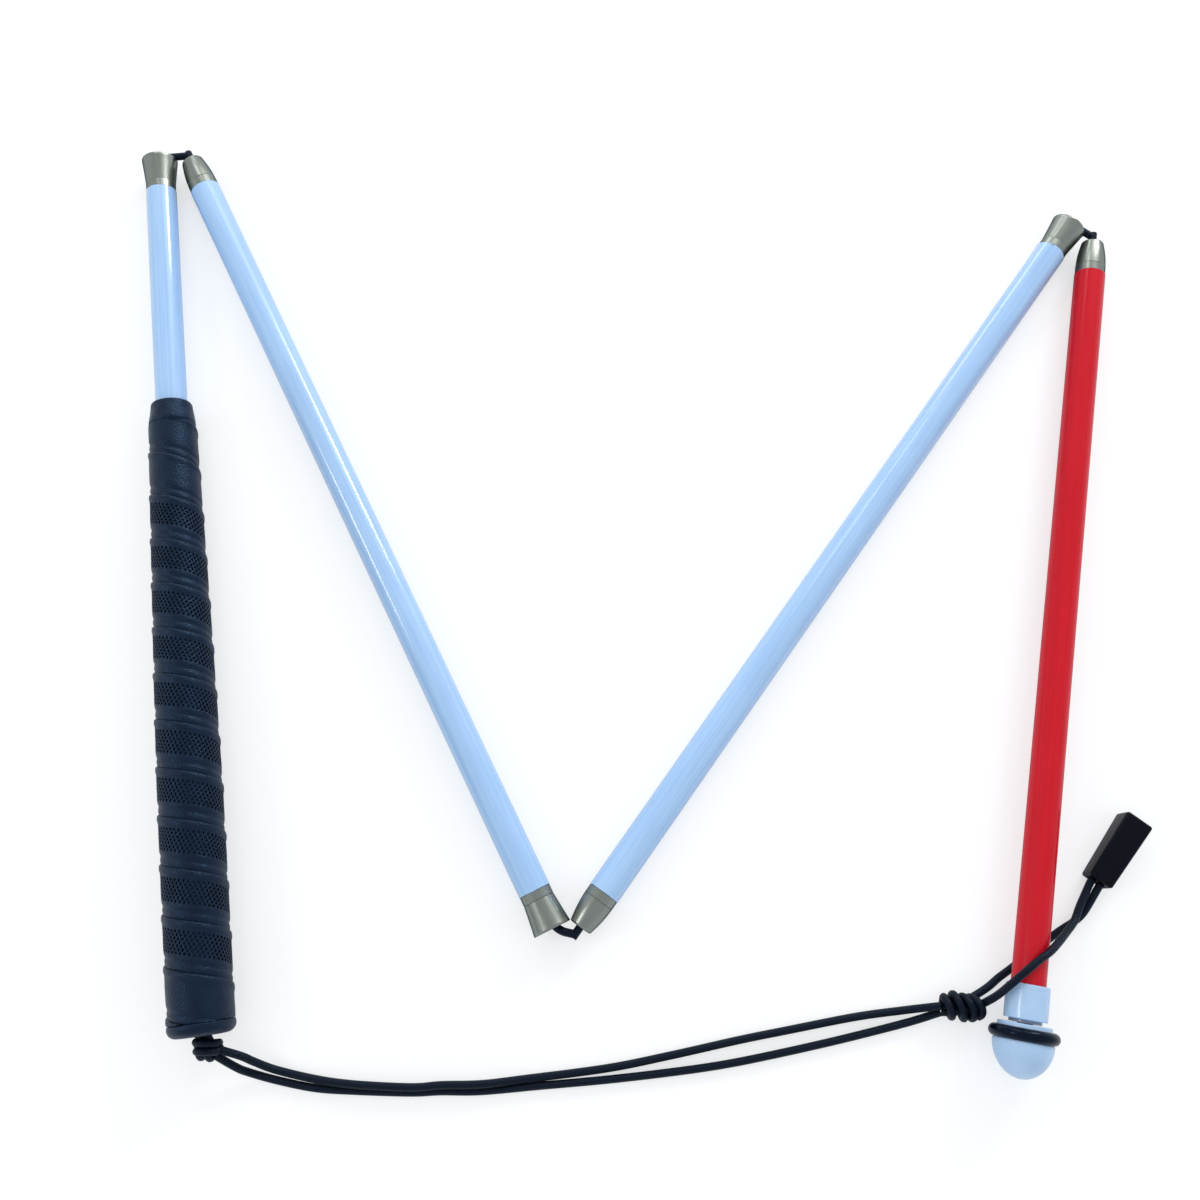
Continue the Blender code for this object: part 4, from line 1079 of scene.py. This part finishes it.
def makeElastic(v):
    radius, soft = v.radius * mm, v.soft * mm
    for number, (hinge, out, link, cone, along) in enumerate(joints, 1):
        mouth, nose = hinge - out * layout.fromMouth, cone + along * layout.fromNose
        inner = (along - out * along.dot(out)).normalized()
        bend = mouth + (out * v.mouthOut + inner * v.mouthSide) * mm
        meet = nose + along * -v.noseOut * mm
        line = softLine([mouth - out * v.inside * mm, bend, meet, nose + along * v.stubLength * mm],
                        (soft, v.noseSoft * mm))
        line = [p for i, p in enumerate(line) if i == 0 or (p - line[i - 1]).length > 1e-5]
        line = np.array(smoothRoute(line, v.step))
        middle = int(np.argmin(np.linalg.norm(line - np.array(meet), axis=1)))
        piece = cordPiece(f"elasticBend{number}", [line[:middle + 2]], radius)
        settle(piece, "cord", None, f"elastic_link_{number}")
        before = "handle" if number == 1 else f"section_{number}"
        tuple(hinge - out * soft)
        tuple(hinge + link * soft)
        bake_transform(piece)
        stub = cordPiece(f"elasticStub{number}", [line[middle - 1:]], radius * v.stubShare)
        settle(stub, "cord", f"stub_{number}", f"elastic_stub_{number}")
    mouthIn, coreFrom = v.inside - v.overlap, v.coreFrom
    runs = (("handle", mouthIn, v.anchor), ("section_2", coreFrom, sectionLength - mouthIn),
            ("section_3", coreFrom, sectionLength - mouthIn))
    for body, low, high in runs:
        path = [tuple(places[body] @ Vector((0.0, 0.0, (low + (high - low) * i / 40) * mm))) for i in range(41)]
        rod = cordPiece(f"elasticCore.{plain(body)}", [path], radius)
        settle(rod, "cord", body, f"{body}_elastic")


makeElastic(elasticShape)
print("elastic run through")


# pieces carried over from the CAD, inside the tubes, get their own finishes

carried = {"tube": "handle_tube section_2_tube section_3_tube section_4_tube", "foam": "grip_core",
           "anchor": "handle_anchor tip_anchor", "plainCord": "lanyard_root section_4_elastic",
           "steel": "tip_axle bearing_inner_race bearing_outer_race axle_nut ball_set"}
for finish, names in carried.items():
    for name in names.split():
        for slot in frame["nodes"][name].material_slots:
            slot.material = finishes[finish]
print("inner pieces finished")


# studio: soft lamps at a plain level, an even world, and a pale floor that keeps the shadow

studio = Sizes(
    world=(0.9, 0.95, 1.0), level=0.78, horizon=0.72, zenith=0.54, floor=(0.86, 0.87, 0.89), shown=(0.46, 0.465, 0.47),
    lift=0.6, reach=6.0, sink=0.0002,
    lamps=(("key", (1.38, 1.843, 1.0), (1.38, 1.843, 0.0), (1.45, 0.45), 35.4, 5.2),
           ("side", (-1.25, 0.0, 1.0), (0.0, 0.0, 0.0), (0.3, 0.3), 0.0, 0.9),
           ("window", (-0.62, 2.3, 0.55), (0.2, 0.13, 0.0), (0.6, 0.7), 0.0, 0.7),
           ("ceiling", (-0.43, 1.2, 1.0), (0.0, 0.0, 0.0), (0.36, 0.3), 0.0, 0.5),
           ("back", (0.55, 1.5, 1.1), (0.0, 0.0, 0.0), (1.0, 0.8), 0.0, 1.1)))


def makeStudio(v):
    world = bpy.data.worlds.new("studio")
    bpy.context.scene.world = world
    world.use_nodes = True
    sky = Maker(world.node_tree)
    background = world.node_tree.nodes["Background"]
    seen, mirrored = sky.seen()
    height = sky.parts(sky.shade("TexCoord", output="Object"))[2]
    shine = sky.ramp(height, 0.05, 0.75, v.horizon, v.zenith)
    level = v.level + (shine - v.level) * mirrored
    sky.put(background.inputs["Color"], sky.blendColour(seen, (*v.world, 1.0), (1.0, 1.0, 1.0, 1.0)))
    sky.put(background.inputs["Strength"], level + (1.0 - level) * seen)
    floorMesh = bpy.data.meshes.new("floor")
    corners = [(x * v.reach, y * v.reach, -v.sink) for x, y in ((-1, -1), (1, -1), (1, 1), (-1, 1))]
    floorMesh.from_pydata(corners, [], [(0, 1, 2, 3)])
    floor = shown("floor", floorMesh)
    ground = Finish("floor", {"Roughness": 0.9, "Specular IOR Level": 0.2, "Emission Color": (1.0, 1.0, 1.0, 1.0)})
    seen, _ = ground.seen()
    ground.put(ground.shader.inputs["Base Color"], ground.blendColour(seen, (*v.floor, 1.0), (*v.shown, 1.0)))
    ground.put(ground.shader.inputs["Emission Strength"], seen * v.lift)
    floorMesh.materials.append(ground.material)
    for name, spot, aim, size, turn, share in v.lamps:
        data = bpy.data.lights.new(name, "AREA")
        data.shape, data.size, data.size_y = "RECTANGLE", *size
        data.energy = share * Vector(spot).length ** 2
        lamp = shown(name, data)
        lamp.location = spot
        aimed = (Vector(aim) - Vector(spot)).to_track_quat("-Z", "Y").to_matrix()
        lamp.rotation_euler = (aimed @ Matrix.Rotation(radians(turn), 3, "Z")).to_euler()
    bpy.context.scene.view_settings.view_transform = "Standard"


makeStudio(studio)
print("studio lit")
